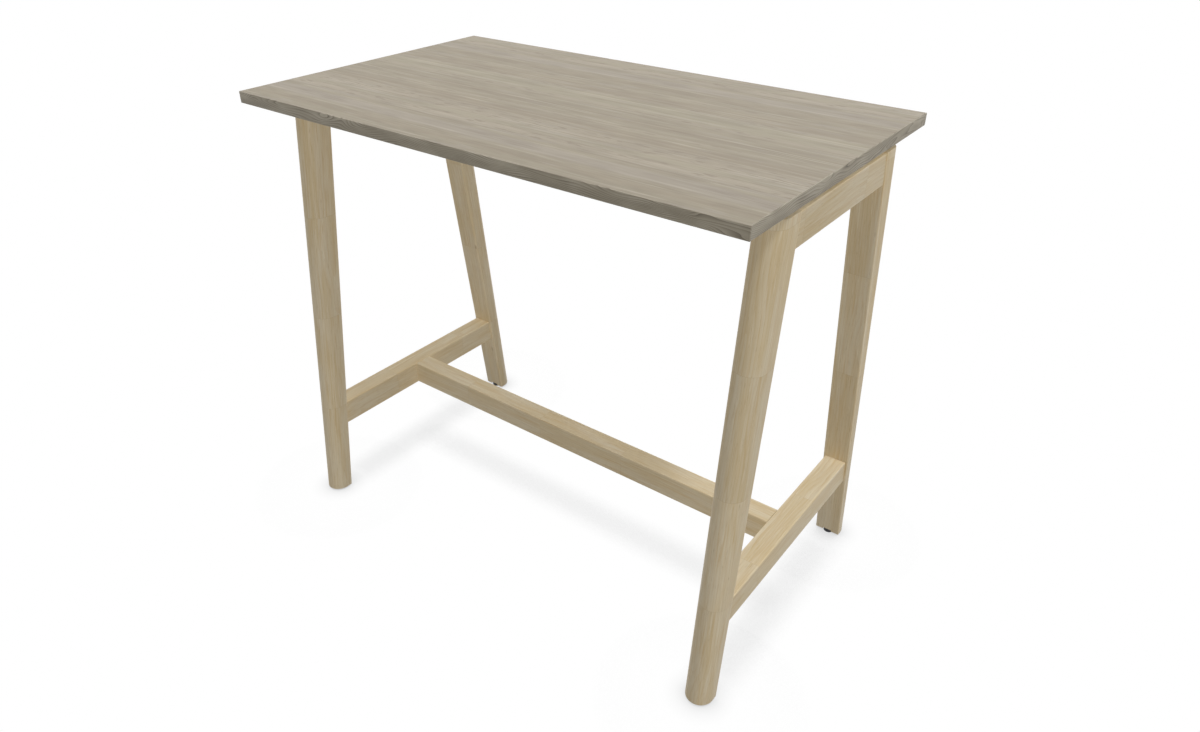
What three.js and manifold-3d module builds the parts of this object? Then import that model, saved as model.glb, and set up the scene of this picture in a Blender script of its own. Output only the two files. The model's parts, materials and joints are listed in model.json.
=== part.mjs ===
// Standing meeting table: a laminated board held above two splayed wooden end frames, which one low
// stretcher joins. Millimetres, +Z up. X runs along the table and Y from front to back, and the origin
// is on the floor at the table's centre.
import * as THREE from "three";
import { mergeVertices } from "three/addons/utils/BufferGeometryUtils.js";
import Module from "manifold-3d";

const wasm = await Module();
wasm.setup();

// Overall size
const TABLE_LENGTH = 1200;
const TABLE_DEPTH = 700;
const TABLE_HEIGHT = 1050;

// Clearances
const FIT_GAP = 0.3; // left between pieces that touch
const GLUE_LINE = 0.1; // between an edge band and what it is glued to
const OVERRUN = 5; // by which a cutting tool runs past the face it enters

// Worktop
const BOARD_THICKNESS = 24;
const BAND_THICKNESS = 2;
const BAND_EDGE_RADIUS = 1;

// End frames
const END_INSET = 3; // from the worktop's end to the outer side of the legs
const FRAME_GAP = 9; // from the top of the legs to the underside of the worktop
const RAIL_SETBACK = 2; // of an upper rail from the legs' sides and tops
const EDGE_RADIUS = 2; // of the long edges of legs, rails and stretcher
const EDGE_STEPS = 3;

// Legs: a flat inner face, parallel sides and a half-round outer face
const LEG_WIDTH = 60;
const LEG_DEPTH_TOP = 64;
const LEG_DEPTH_FOOT = 45;
const LEG_SPLAY = THREE.MathUtils.degToRad(7);
const LEG_FOOT_SPACING = 598; // between the inner faces of a frame's legs at their lower ends
const LEG_CLEARANCE = 4.5; // from the floor to the lower end of a leg
const LEG_ROUND_STEPS = 24;

// Rails and stretcher
const TOP_RAIL_HEIGHT = 63;
const LOWER_RAIL_THICKNESS = 50;
const LOWER_RAIL_HEIGHT = 60;
const LOWER_RAIL_TOP = 249.5;
const STRETCHER_THICKNESS = 49;
const STRETCHER_HEIGHT = 59;
const STRETCHER_DROP = 0.5; // of the stretcher's top below the top of the lower rails

// Loose tenons between legs and rails
const TENON_THICKNESS = 12;
const TENON_HEIGHT = 36;
const TENON_LENGTH = 50;

// Fixings of the stretcher
const STUD_RADIUS = 4;
const STUD_IN_RAIL = 36;
const STUD_IN_STRETCHER = 46;
const STUD_DROP = 8; // of the stud's axis below the middle of the stretcher
const POCKET_RADIUS = 14;
const POCKET_FROM_END = 42;
const POCKET_ABOVE_STUD = 15;
const CRESCENT_HEIGHT = 20;
const CRESCENT_FLAT = 6; // from the middle of the pocket to the flat of the half-moon washer
const NUT_ACROSS_FLATS = 13;
const NUT_THICKNESS = 6.5;
const DOWEL_RADIUS = 5;
const DOWEL_LENGTH = 36;
const DOWEL_SPREAD = 26;
const DOWEL_RISE = 14; // of the dowels above the middle of the stretcher

// Fixings of the worktop
const BOLT_SPREAD = 220; // between the two bolts of a frame
const BOLT_RADIUS = 3;
const BOLT_FLANGE_RADIUS = 7;
const BOLT_FLANGE_THICKNESS = 1.5;
const BOLT_HEAD_RADIUS = 5;
const BOLT_HEAD_HEIGHT = 5;
const BOLT_SOCKET_ACROSS_FLATS = 5;
const BOLT_SOCKET_DEPTH = 3;
const BOLT_SEAT_DEPTH = 22; // of the head's seat above the rail's underside
const BOLT_TIP_DEPTH = 13; // of the bolt's tip above the worktop's underside
const BOLT_HOLE_RADIUS = 3.5;
const SEAT_RADIUS = 8;
const SPACER_RADIUS = 16;
const INSERT_RADIUS = 5;
const INSERT_LENGTH = 13;
const INSERT_HOLE_DEPTH = 15;

// Levelling feet
const FOOT_FROM_FACE = 10.3; // from the leg's inner face at its lower end to the foot's axis
const PAD_RADIUS = 12;
const PAD_HEIGHT = 8.8;
const PAD_EDGE = 1.5;
const PAD_FLOOR = 2.2;
const PAD_MOUTH_RADIUS = 4.5;
const RECESS_RADIUS = 15;
const RECESS_TOP = 9.3; // above the floor
const STEM_RADIUS = 4;
const STEM_COLLAR_RADIUS = 6;
const STEM_COLLAR_HEIGHT = 3;
const STEM_TIP = 46; // above the floor
const STEM_CHAMFER = 1;
const SLEEVE_RADIUS = 6;
const SLEEVE_LENGTH = 26;
const STEM_ROOM = 5; // of the leg's bore beyond the tip of the stem

// Facets of round pieces and bores
const ROUND_SIDES = 16;
const HALF_ROUND_STEPS = 8;
const HEXAGON_SIDES = 6;
const FOOT_SIDES = 28;

// Worked out from the driving dimensions
const WORKTOP_UNDERSIDE = TABLE_HEIGHT - BOARD_THICKNESS;
const LEG_TOP = WORKTOP_UNDERSIDE - FRAME_GAP;
const LEG_HEIGHT = LEG_TOP - LEG_CLEARANCE;
const FRAME_X = TABLE_LENGTH / 2 - END_INSET - LEG_WIDTH / 2;
const INNER_LEAN = Math.tan(LEG_SPLAY);
const OUTER_LEAN = INNER_LEAN - (LEG_DEPTH_TOP - LEG_DEPTH_FOOT) / LEG_HEIGHT;
const TOP_RAIL_THICKNESS = LEG_WIDTH - 2 * RAIL_SETBACK;
const TOP_RAIL_MIDDLE = LEG_TOP - RAIL_SETBACK - TOP_RAIL_HEIGHT / 2;
const TOP_RAIL_TOP = TOP_RAIL_MIDDLE + TOP_RAIL_HEIGHT / 2;
const TOP_RAIL_UNDERSIDE = TOP_RAIL_MIDDLE - TOP_RAIL_HEIGHT / 2;
const LOWER_RAIL_MIDDLE = LOWER_RAIL_TOP - LOWER_RAIL_HEIGHT / 2;
const STRETCHER_MIDDLE = LOWER_RAIL_TOP - STRETCHER_DROP - STRETCHER_HEIGHT / 2;
const STUD_Z = STRETCHER_MIDDLE - STUD_DROP;
const LOWER_RAIL_FACE = FRAME_X - LOWER_RAIL_THICKNESS / 2;
const STRETCHER_END = LOWER_RAIL_FACE - FIT_GAP;
const BOLT_SEAT = TOP_RAIL_UNDERSIDE + BOLT_SEAT_DEPTH;

// Materials
const wood = new THREE.MeshStandardMaterial({ color: 0xb5a688, roughness: 0.6, metalness: 0 });
const laminate = new THREE.MeshStandardMaterial({ color: 0xaea697, roughness: 0.5, metalness: 0 });
const band = new THREE.MeshStandardMaterial({ color: 0x8b8377, roughness: 0.55, metalness: 0 });
const beech = new THREE.MeshStandardMaterial({ color: 0xc8a983, roughness: 0.7, metalness: 0 });
const steel = new THREE.MeshStandardMaterial({ color: 0xa8abad, roughness: 0.35, metalness: 1 });
const brass = new THREE.MeshStandardMaterial({ color: 0xb89a55, roughness: 0.35, metalness: 1 });
const plastic = new THREE.MeshStandardMaterial({ color: 0x1d1e20, roughness: 0.5, metalness: 0 });

// Basis matrices that lay a shape drawn in the XY plane, and extruded along Z, along another axis
const ALONG_X = new THREE.Matrix4().makeBasis(
  new THREE.Vector3(0, 1, 0),
  new THREE.Vector3(0, 0, 1),
  new THREE.Vector3(1, 0, 0),
);
const ALONG_Y = new THREE.Matrix4().makeBasis(
  new THREE.Vector3(-1, 0, 0),
  new THREE.Vector3(0, 0, 1),
  new THREE.Vector3(0, 1, 0),
);
const ALONG_Z = new THREE.Matrix4();

function toSolid(geometry) {
  const bare = geometry.clone();
  bare.deleteAttribute("normal");
  bare.deleteAttribute("uv");
  const merged = mergeVertices(bare);
  const vertProperties = new Float32Array(merged.attributes.position.array);
  const triVerts = new Uint32Array(merged.index.array);
  return new wasm.Manifold(new wasm.Mesh({ numProp: 3, vertProperties, triVerts }));
}

function toGeometry(solid) {
  const mesh = solid.getMesh();
  const geometry = new THREE.BufferGeometry();
  geometry.setAttribute("position", new THREE.BufferAttribute(mesh.vertProperties, mesh.numProp));
  geometry.setIndex(new THREE.BufferAttribute(mesh.triVerts, 1));
  geometry.computeVertexNormals();
  return geometry;
}

function cut(geometry, tools) {
  const left = tools.reduce((solid, tool) => solid.subtract(toSolid(tool)), toSolid(geometry));
  return toGeometry(left);
}

function arc(x, y, radius, start, end, steps) {
  const curve = new THREE.EllipseCurve(x, y, radius, radius, start, end, false);
  return curve.getPoints(steps);
}

// A rectangle about the origin whose corners are arcs.
function roundedRectangle(width, height, radius, steps) {
  const x = width / 2 - radius;
  const y = height / 2 - radius;
  const corner = Math.PI / 2;
  return new THREE.Shape([
    ...arc(x, y, radius, 0, corner, steps),
    ...arc(-x, y, radius, corner, 2 * corner, steps),
    ...arc(-x, -y, radius, 2 * corner, 3 * corner, steps),
    ...arc(x, -y, radius, 3 * corner, 4 * corner, steps),
  ]);
}

// An oblong with half-round ends, higher than it is wide.
function oblong(width, height) {
  const radius = width / 2;
  const y = height / 2 - radius;
  return new THREE.Shape([
    ...arc(0, y, radius, 0, Math.PI, HALF_ROUND_STEPS),
    ...arc(0, -y, radius, Math.PI, 2 * Math.PI, HALF_ROUND_STEPS),
  ]);
}

// A shape extruded over a length and centred on the origin, lying along the axis of a basis matrix.
function prism(shape, length, along) {
  const geometry = new THREE.ExtrudeGeometry(shape, { depth: length, bevelEnabled: false });
  geometry.translate(0, 0, -length / 2);
  return geometry.applyMatrix4(along);
}

function rod(radius, length, along, sides = ROUND_SIDES) {
  const geometry = new THREE.CylinderGeometry(radius, radius, length, sides);
  geometry.rotateX(Math.PI / 2);
  return geometry.applyMatrix4(along);
}

// A piece turned about Z from a profile of [radius, height] pairs.
function turned(profile, sides = ROUND_SIDES) {
  const points = profile.map(([radius, height]) => new THREE.Vector2(radius, height));
  return new THREE.LatheGeometry(points, sides).rotateX(Math.PI / 2);
}

// A plain tube about Z, standing on the origin.
function tube(outer, inner, length) {
  return turned([
    [inner, 0],
    [outer, 0],
    [outer, length],
    [inner, length],
    [inner, 0],
  ]);
}

function hexagon(acrossFlats, length, along) {
  const corners = acrossFlats / Math.sqrt(3);
  return rod(corners, length, along, HEXAGON_SIDES);
}

function piece(name, geometry, material, x = 0, y = 0, z = 0) {
  const mesh = new THREE.Mesh(geometry, material);
  mesh.name = name;
  mesh.position.set(x, y, z);
  return mesh;
}

// Half the clear distance between a frame's legs at a height above the floor.
function innerFaceY(z) {
  return LEG_FOOT_SPACING / 2 - INNER_LEAN * (z - LEG_CLEARANCE);
}

// Worktop: the board, its four edge bands and the inserts for the bolts
function boardGeometry() {
  const length = TABLE_LENGTH - 2 * (BAND_THICKNESS + GLUE_LINE);
  const depth = TABLE_DEPTH - 2 * (BAND_THICKNESS + GLUE_LINE);
  const board = new THREE.BoxGeometry(length, depth, BOARD_THICKNESS);
  const holeHeight = INSERT_HOLE_DEPTH + OVERRUN;
  const holes = [];
  for (const x of [-FRAME_X, FRAME_X]) {
    for (const y of [-BOLT_SPREAD / 2, BOLT_SPREAD / 2]) {
      const hole = rod(INSERT_RADIUS + FIT_GAP, holeHeight, ALONG_Z);
      holes.push(hole.translate(x, y, INSERT_HOLE_DEPTH - holeHeight / 2 - BOARD_THICKNESS / 2));
    }
  }
  return cut(board, holes);
}

// A strip whose two outer long edges are rounded. Its outer face looks along +Y.
function bandGeometry(length) {
  const half = BOARD_THICKNESS / 2;
  const round = BAND_EDGE_RADIUS;
  const corner = Math.PI / 2;
  const section = new THREE.Shape([
    new THREE.Vector2(-BAND_THICKNESS, half),
    new THREE.Vector2(-BAND_THICKNESS, -half),
    ...arc(-round, -half + round, round, 3 * corner, 4 * corner, EDGE_STEPS),
    ...arc(-round, half - round, round, 0, corner, EDGE_STEPS),
  ]);
  return prism(section, length, ALONG_X);
}

function worktop() {
  const group = new THREE.Group();
  group.position.z = TABLE_HEIGHT - BOARD_THICKNESS / 2;
  group.add(piece("worktop_board", boardGeometry(), laminate));
  const sideLength = TABLE_DEPTH - 2 * (BAND_THICKNESS + GLUE_LINE);
  const front = piece("edge_band_front", bandGeometry(TABLE_LENGTH), band, 0, -TABLE_DEPTH / 2);
  front.rotation.z = Math.PI;
  const left = piece("edge_band_left", bandGeometry(sideLength), band, -TABLE_LENGTH / 2);
  left.rotation.z = Math.PI / 2;
  const right = piece("edge_band_right", bandGeometry(sideLength), band, TABLE_LENGTH / 2);
  right.rotation.z = -Math.PI / 2;
  const back = piece("edge_band_back", bandGeometry(TABLE_LENGTH), band, 0, TABLE_DEPTH / 2);
  group.add(front, back, left, right);
  return group;
}

// Legs. A leg's own origin is the middle of its inner face at the lower end, and +Y points outwards.
function legSection() {
  const half = LEG_WIDTH / 2;
  const edge = EDGE_RADIUS;
  const straight = LEG_DEPTH_FOOT - half;
  const corner = Math.PI / 2;
  return new THREE.Shape([
    ...arc(0, straight, half, 0, Math.PI, LEG_ROUND_STEPS),
    ...arc(-half + edge, edge, edge, 2 * corner, 3 * corner, EDGE_STEPS),
    ...arc(half - edge, edge, edge, 3 * corner, 4 * corner, EDGE_STEPS),
  ]);
}

// The section rises with the splay, and its round outer part leans less than the flat inner face.
function legBlank() {
  const geometry = new THREE.ExtrudeGeometry(legSection(), { depth: LEG_HEIGHT, bevelEnabled: false });
  const position = geometry.attributes.position;
  for (let i = 0; i < position.count; i += 1) {
    const lean = position.getY(i) <= EDGE_RADIUS ? INNER_LEAN : OUTER_LEAN;
    position.setY(i, position.getY(i) - lean * position.getZ(i));
  }
  return geometry;
}

// The slot that takes a loose tenon, entering along the rail's axis at a height above the leg's lower end.
function legMortise(height) {
  const depth = TENON_LENGTH / 2 + FIT_GAP + OVERRUN;
  const slot = prism(oblong(TENON_THICKNESS + 2 * FIT_GAP, TENON_HEIGHT + 2 * FIT_GAP), depth, ALONG_Y);
  return slot.translate(0, depth / 2 - OVERRUN - INNER_LEAN * height, height);
}

// A bore on the foot's axis, from below the leg up to a height above the floor.
function footBore(radius, top, sides = ROUND_SIDES) {
  const length = top - LEG_CLEARANCE + OVERRUN;
  return rod(radius, length, ALONG_Z, sides).translate(0, FOOT_FROM_FACE, length / 2 - OVERRUN);
}

function legGeometry() {
  return cut(legBlank(), [
    legMortise(TOP_RAIL_MIDDLE - LEG_CLEARANCE),
    legMortise(LOWER_RAIL_MIDDLE - LEG_CLEARANCE),
    footBore(RECESS_RADIUS, RECESS_TOP, FOOT_SIDES),
    footBore(SLEEVE_RADIUS + FIT_GAP, RECESS_TOP + SLEEVE_LENGTH + 2 * FIT_GAP),
    footBore(STEM_RADIUS + FIT_GAP, STEM_TIP + STEM_ROOM),
  ]);
}

// Rails. A rail's own origin is its middle, and its ends follow the splay of the legs.
function railBlank(thickness, height, middle) {
  const unitReach = 2; // a length whose two ends lie at -1 and 1, before they are moved out to the legs
  const geometry = prism(roundedRectangle(thickness, height, EDGE_RADIUS, EDGE_STEPS), unitReach, ALONG_Y);
  const position = geometry.attributes.position;
  for (let i = 0; i < position.count; i += 1) {
    const reach = innerFaceY(middle + position.getZ(i)) - FIT_GAP;
    position.setY(i, position.getY(i) * reach);
  }
  return geometry;
}

function railMortises(middle) {
  const depth = TENON_LENGTH / 2 + FIT_GAP + OVERRUN;
  const shape = oblong(TENON_THICKNESS + 2 * FIT_GAP, TENON_HEIGHT + 2 * FIT_GAP);
  const reach = innerFaceY(middle) + OVERRUN - depth / 2;
  return [-reach, reach].map((y) => prism(shape, depth, ALONG_Y).translate(0, y, 0));
}

function topRailGeometry() {
  const seatLength = BOLT_SEAT_DEPTH + OVERRUN;
  const tools = railMortises(TOP_RAIL_MIDDLE);
  for (const y of [-BOLT_SPREAD / 2, BOLT_SPREAD / 2]) {
    const hole = rod(BOLT_HOLE_RADIUS, TOP_RAIL_HEIGHT + 2 * OVERRUN, ALONG_Z);
    const seat = rod(SEAT_RADIUS, seatLength, ALONG_Z);
    tools.push(hole.translate(0, y, 0));
    tools.push(seat.translate(0, y, BOLT_SEAT_DEPTH - TOP_RAIL_HEIGHT / 2 - seatLength / 2));
  }
  return cut(railBlank(TOP_RAIL_THICKNESS, TOP_RAIL_HEIGHT, TOP_RAIL_MIDDLE), tools);
}

// The lower rail takes the stretcher's stud and dowels on its +X face.
function lowerRailGeometry() {
  const face = LOWER_RAIL_THICKNESS / 2;
  const tools = railMortises(LOWER_RAIL_MIDDLE);
  const studLength = STUD_IN_RAIL + FIT_GAP + OVERRUN;
  const stud = rod(STUD_RADIUS + FIT_GAP, studLength, ALONG_X);
  tools.push(stud.translate(face + OVERRUN - studLength / 2, 0, STUD_Z - LOWER_RAIL_MIDDLE));
  for (const y of [-DOWEL_SPREAD / 2, DOWEL_SPREAD / 2]) {
    const length = DOWEL_LENGTH + 2 * FIT_GAP;
    const hole = rod(DOWEL_RADIUS + FIT_GAP, length, ALONG_X);
    tools.push(hole.translate(face, y, STRETCHER_MIDDLE + DOWEL_RISE - LOWER_RAIL_MIDDLE));
  }
  return cut(railBlank(LOWER_RAIL_THICKNESS, LOWER_RAIL_HEIGHT, LOWER_RAIL_MIDDLE), tools);
}

function tenonGeometry() {
  return prism(oblong(TENON_THICKNESS, TENON_HEIGHT), TENON_LENGTH, ALONG_Y);
}

// Levelling foot: the pad is snapped over the collar of a stem, which screws into a sleeve in the leg
function padGeometry() {
  const socketRadius = STEM_COLLAR_RADIUS + FIT_GAP;
  const socketTop = PAD_FLOOR + STEM_COLLAR_HEIGHT + 2 * FIT_GAP;
  const profile = [
    [0, 0],
    [PAD_RADIUS - PAD_EDGE, 0],
    [PAD_RADIUS, PAD_EDGE],
    [PAD_RADIUS, PAD_HEIGHT - PAD_EDGE],
    [PAD_RADIUS - PAD_EDGE, PAD_HEIGHT],
    [PAD_MOUTH_RADIUS, PAD_HEIGHT],
    [PAD_MOUTH_RADIUS, socketTop],
    [socketRadius, socketTop],
    [socketRadius, PAD_FLOOR],
    [0, PAD_FLOOR],
  ];
  return turned(profile, FOOT_SIDES);
}

function stemGeometry() {
  const foot = PAD_FLOOR + FIT_GAP;
  return turned([
    [0, foot],
    [STEM_COLLAR_RADIUS, foot],
    [STEM_COLLAR_RADIUS, foot + STEM_COLLAR_HEIGHT],
    [STEM_RADIUS, foot + STEM_COLLAR_HEIGHT],
    [STEM_RADIUS, STEM_TIP - STEM_CHAMFER],
    [STEM_RADIUS - STEM_CHAMFER, STEM_TIP],
    [0, STEM_TIP],
  ]);
}

function foot(place) {
  const group = new THREE.Group();
  const sleeve = tube(SLEEVE_RADIUS, STEM_RADIUS + FIT_GAP, SLEEVE_LENGTH);
  group.add(piece(`foot_pad_${place}`, padGeometry(), plastic));
  group.add(piece(`foot_stem_${place}`, stemGeometry(), steel));
  group.add(piece(`foot_sleeve_${place}`, sleeve, brass, 0, 0, RECESS_TOP + FIT_GAP));
  return group;
}

// A leg with the tenons and the foot that belong to it
function legAssembly(place) {
  const group = new THREE.Group();
  group.add(piece(`leg_${place}`, legGeometry(), wood, 0, LEG_FOOT_SPACING / 2, LEG_CLEARANCE));
  const tenons = { top: TOP_RAIL_MIDDLE, lower: LOWER_RAIL_MIDDLE };
  for (const [rail, middle] of Object.entries(tenons)) {
    group.add(piece(`tenon_${rail}_${place}`, tenonGeometry(), beech, 0, innerFaceY(middle), middle));
  }
  const standing = foot(place);
  standing.position.y = LEG_FOOT_SPACING / 2 + FOOT_FROM_FACE;
  group.add(standing);
  return group;
}

// Worktop fixing: the bolt rises through the rail and a spacer into the insert in the board
function boltGeometry() {
  const tip = WORKTOP_UNDERSIDE + BOLT_TIP_DEPTH - BOLT_SEAT;
  const flange = -FIT_GAP - BOLT_FLANGE_THICKNESS;
  const head = flange - BOLT_HEAD_HEIGHT;
  const blank = turned([
    [0, head],
    [BOLT_HEAD_RADIUS, head],
    [BOLT_HEAD_RADIUS, flange],
    [BOLT_FLANGE_RADIUS, flange],
    [BOLT_FLANGE_RADIUS, -FIT_GAP],
    [BOLT_RADIUS, -FIT_GAP],
    [BOLT_RADIUS, tip],
    [0, tip],
  ]);
  const socketLength = BOLT_SOCKET_DEPTH + OVERRUN;
  const socket = hexagon(BOLT_SOCKET_ACROSS_FLATS, socketLength, ALONG_Z);
  return cut(blank, [socket.translate(0, 0, head + BOLT_SOCKET_DEPTH - socketLength / 2)]);
}

function worktopFixing(place) {
  const group = new THREE.Group();
  const bore = BOLT_RADIUS + FIT_GAP;
  const spacerHeight = WORKTOP_UNDERSIDE - TOP_RAIL_TOP - 2 * FIT_GAP;
  const spacer = tube(SPACER_RADIUS, bore, spacerHeight);
  const insert = tube(INSERT_RADIUS, bore, INSERT_LENGTH);
  group.add(piece(`worktop_bolt_${place}`, boltGeometry(), steel, 0, 0, BOLT_SEAT));
  group.add(piece(`worktop_spacer_${place}`, spacer, plastic, 0, 0, TOP_RAIL_TOP + FIT_GAP));
  group.add(piece(`worktop_insert_${place}`, insert, brass, 0, 0, WORKTOP_UNDERSIDE + FIT_GAP));
  return group;
}

// End frame: its inner side looks along +X, and a half turn about Z makes the frame of the other end
function endFrame(side, back, front) {
  const group = new THREE.Group();
  group.add(piece(`top_rail_${side}`, topRailGeometry(), wood, 0, 0, TOP_RAIL_MIDDLE));
  group.add(piece(`lower_rail_${side}`, lowerRailGeometry(), wood, 0, 0, LOWER_RAIL_MIDDLE));
  const backLeg = legAssembly(`${back}_${side}`);
  const frontLeg = legAssembly(`${front}_${side}`);
  frontLeg.rotation.z = Math.PI;
  const backFixing = worktopFixing(`${back}_${side}`);
  const frontFixing = worktopFixing(`${front}_${side}`);
  backFixing.position.y = BOLT_SPREAD / 2;
  frontFixing.position.y = -BOLT_SPREAD / 2;
  group.add(backLeg, frontLeg, backFixing, frontFixing);
  return group;
}

// Stretcher, with a pocket drilled from below near each end for the half-moon washer and the nut
function stretcherGeometry() {
  const shape = roundedRectangle(STRETCHER_THICKNESS, STRETCHER_HEIGHT, EDGE_RADIUS, EDGE_STEPS);
  const tools = [];
  const pocketTop = STUD_Z + POCKET_ABOVE_STUD - STRETCHER_MIDDLE;
  const pocketLength = pocketTop + STRETCHER_HEIGHT / 2 + OVERRUN;
  const studLength = STUD_IN_STRETCHER + 2 * FIT_GAP + OVERRUN;
  for (const end of [-1, 1]) {
    const pocket = rod(POCKET_RADIUS, pocketLength, ALONG_Z);
    tools.push(pocket.translate(end * (STRETCHER_END - POCKET_FROM_END), 0, pocketTop - pocketLength / 2));
    const stud = rod(STUD_RADIUS + FIT_GAP, studLength, ALONG_X);
    tools.push(stud.translate(end * (STRETCHER_END + OVERRUN - studLength / 2), 0, -STUD_DROP));
    for (const y of [-DOWEL_SPREAD / 2, DOWEL_SPREAD / 2]) {
      const length = DOWEL_LENGTH + 2 * FIT_GAP;
      const hole = rod(DOWEL_RADIUS + FIT_GAP, length, ALONG_X);
      tools.push(hole.translate(end * LOWER_RAIL_FACE, y, DOWEL_RISE));
    }
  }
  return cut(prism(shape, 2 * STRETCHER_END, ALONG_X), tools);
}

// A segment of the pocket's round, bored for the stud. The round side looks along +X.
function crescentGeometry() {
  const radius = POCKET_RADIUS - FIT_GAP;
  const half = Math.acos(CRESCENT_FLAT / radius);
  const section = new THREE.Shape(arc(0, 0, radius, -half, half, HALF_ROUND_STEPS));
  const blank = prism(section, CRESCENT_HEIGHT, ALONG_Z);
  return cut(blank, [rod(STUD_RADIUS + FIT_GAP, 2 * POCKET_RADIUS, ALONG_X)]);
}

function nutGeometry() {
  const blank = hexagon(NUT_ACROSS_FLATS, NUT_THICKNESS, ALONG_X);
  return cut(blank, [rod(STUD_RADIUS + FIT_GAP, NUT_THICKNESS + OVERRUN, ALONG_X)]);
}

// Fixing of the stretcher's +X end
function stretcherFixing(side, back, front) {
  const group = new THREE.Group();
  const pocketX = STRETCHER_END - POCKET_FROM_END;
  const studLength = STUD_IN_RAIL + STUD_IN_STRETCHER;
  const studX = LOWER_RAIL_FACE + STUD_IN_RAIL - studLength / 2;
  const nutX = pocketX + CRESCENT_FLAT - FIT_GAP - NUT_THICKNESS / 2;
  const dowelZ = STRETCHER_MIDDLE + DOWEL_RISE;
  const spread = DOWEL_SPREAD / 2;
  const dowel = rod(DOWEL_RADIUS, DOWEL_LENGTH, ALONG_X);
  group.add(piece(`stretcher_stud_${side}`, rod(STUD_RADIUS, studLength, ALONG_X), steel, studX, 0, STUD_Z));
  group.add(piece(`stretcher_washer_${side}`, crescentGeometry(), steel, pocketX, 0, STUD_Z));
  group.add(piece(`stretcher_nut_${side}`, nutGeometry(), steel, nutX, 0, STUD_Z));
  group.add(piece(`stretcher_dowel_${back}_${side}`, dowel, beech, LOWER_RAIL_FACE, spread, dowelZ));
  group.add(piece(`stretcher_dowel_${front}_${side}`, dowel, beech, LOWER_RAIL_FACE, -spread, dowelZ));
  return group;
}

function table() {
  const group = new THREE.Group();
  group.name = "standing_table";
  const leftFrame = endFrame("left", "back", "front");
  const rightFrame = endFrame("right", "front", "back");
  leftFrame.position.x = -FRAME_X;
  rightFrame.position.x = FRAME_X;
  rightFrame.rotation.z = Math.PI;
  const rightFixing = stretcherFixing("right", "back", "front");
  const leftFixing = stretcherFixing("left", "front", "back");
  leftFixing.rotation.z = Math.PI;
  const beam = piece("stretcher", stretcherGeometry(), wood, 0, 0, STRETCHER_MIDDLE);
  group.add(worktop(), leftFrame, rightFrame, beam, leftFixing, rightFixing);
  return group;
}

export default table();
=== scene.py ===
"""Looks of a standing meeting table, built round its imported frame.

Lengths are in metres and +Z is up. X runs along the table, Y runs from front to back, and the origin is on the
floor at the table's centre.
"""

import json
import logging
import math
from abc import ABC, abstractmethod
from collections.abc import Iterable, Sequence
from dataclasses import dataclass
from enum import Enum
from typing import Any

import bmesh
import bpy
from mathutils import Matrix, Vector


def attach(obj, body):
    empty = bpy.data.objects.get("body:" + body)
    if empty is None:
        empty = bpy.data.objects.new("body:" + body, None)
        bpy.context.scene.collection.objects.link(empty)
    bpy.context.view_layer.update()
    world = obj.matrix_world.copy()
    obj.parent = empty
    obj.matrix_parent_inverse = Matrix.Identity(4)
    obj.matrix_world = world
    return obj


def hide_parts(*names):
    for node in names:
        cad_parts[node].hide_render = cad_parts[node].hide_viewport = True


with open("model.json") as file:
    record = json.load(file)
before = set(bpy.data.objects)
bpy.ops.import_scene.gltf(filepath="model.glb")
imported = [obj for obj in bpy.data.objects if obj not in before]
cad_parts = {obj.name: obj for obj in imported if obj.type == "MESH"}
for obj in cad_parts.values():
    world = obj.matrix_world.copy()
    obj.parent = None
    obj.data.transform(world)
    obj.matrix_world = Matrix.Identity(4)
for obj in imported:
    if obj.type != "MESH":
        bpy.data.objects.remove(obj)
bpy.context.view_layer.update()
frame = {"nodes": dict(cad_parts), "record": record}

LOG = logging.getLogger("standing_table")
MM = 0.001
FIT_GAP = 0.3 * MM
QUARTER = math.pi / 2
TABLE_BODY = "table"

# Attributes that the meshes carry for their finishes: where a point lies in its timber (along the grain, across,
# across); how near it is to a handled edge, which on the edge bands marks the milled rounding, partly paler plastic
# and partly a painted highlight; and how dark a face is made: sealed, cut across the grain, or inside a bore, pocket
# or mortise, where the extra darkening is painted shade.
GRAIN = "grain"
# Per point: nearness to a rounded edge; on the bands it also paints a highlight along the milled rounding
WEAR_AND_HIGHLIGHT = "wear_and_highlight"
# Per face: end grain is darker, and faces inside bores, pockets and mortises darker still, as painted shade
RAW_AND_BORE_SHADE = "raw"

Point2 = tuple[float, float]
Colour = tuple[float, float, float, float]


class End(Enum):
    """End of the table, by the sign of its X."""

    LEFT = -1
    RIGHT = 1

    @property
    def label(self) -> str:
        """The end's word in piece names."""
        return self.name.lower()


class Row(Enum):
    """Long side of the table, by the sign of its Y."""

    FRONT = -1
    BACK = 1

    @property
    def label(self) -> str:
        """The row's word in piece names."""
        return self.name.lower()


class Slot(Enum):
    """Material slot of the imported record."""

    WORKTOP = "worktop_laminate"
    BAND = "edge_band"
    FRAME = "frame_wood"
    JOINT = "joint_wood"
    STEEL = "zinc_steel"
    BRASS = "brass"
    PLASTIC = "black_plastic"


CORNERS: tuple[tuple[Row, End], ...] = tuple((row, end) for row in Row for end in End)


def linear(code: str) -> Colour:
    """Turns an sRGB hex value into linear light.

    Args:
        code: Six hex digits after a hash sign.

    Returns:
        Red, green, blue and an alpha of 1.
    """
    parts = [int(code[i : i + 2], 16) / 255 for i in (1, 3, 5)]
    light = [p / 12.92 if p <= 0.04045 else ((p + 0.055) / 1.055) ** 2.4 for p in parts]
    return light[0], light[1], light[2], 1.0


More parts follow.
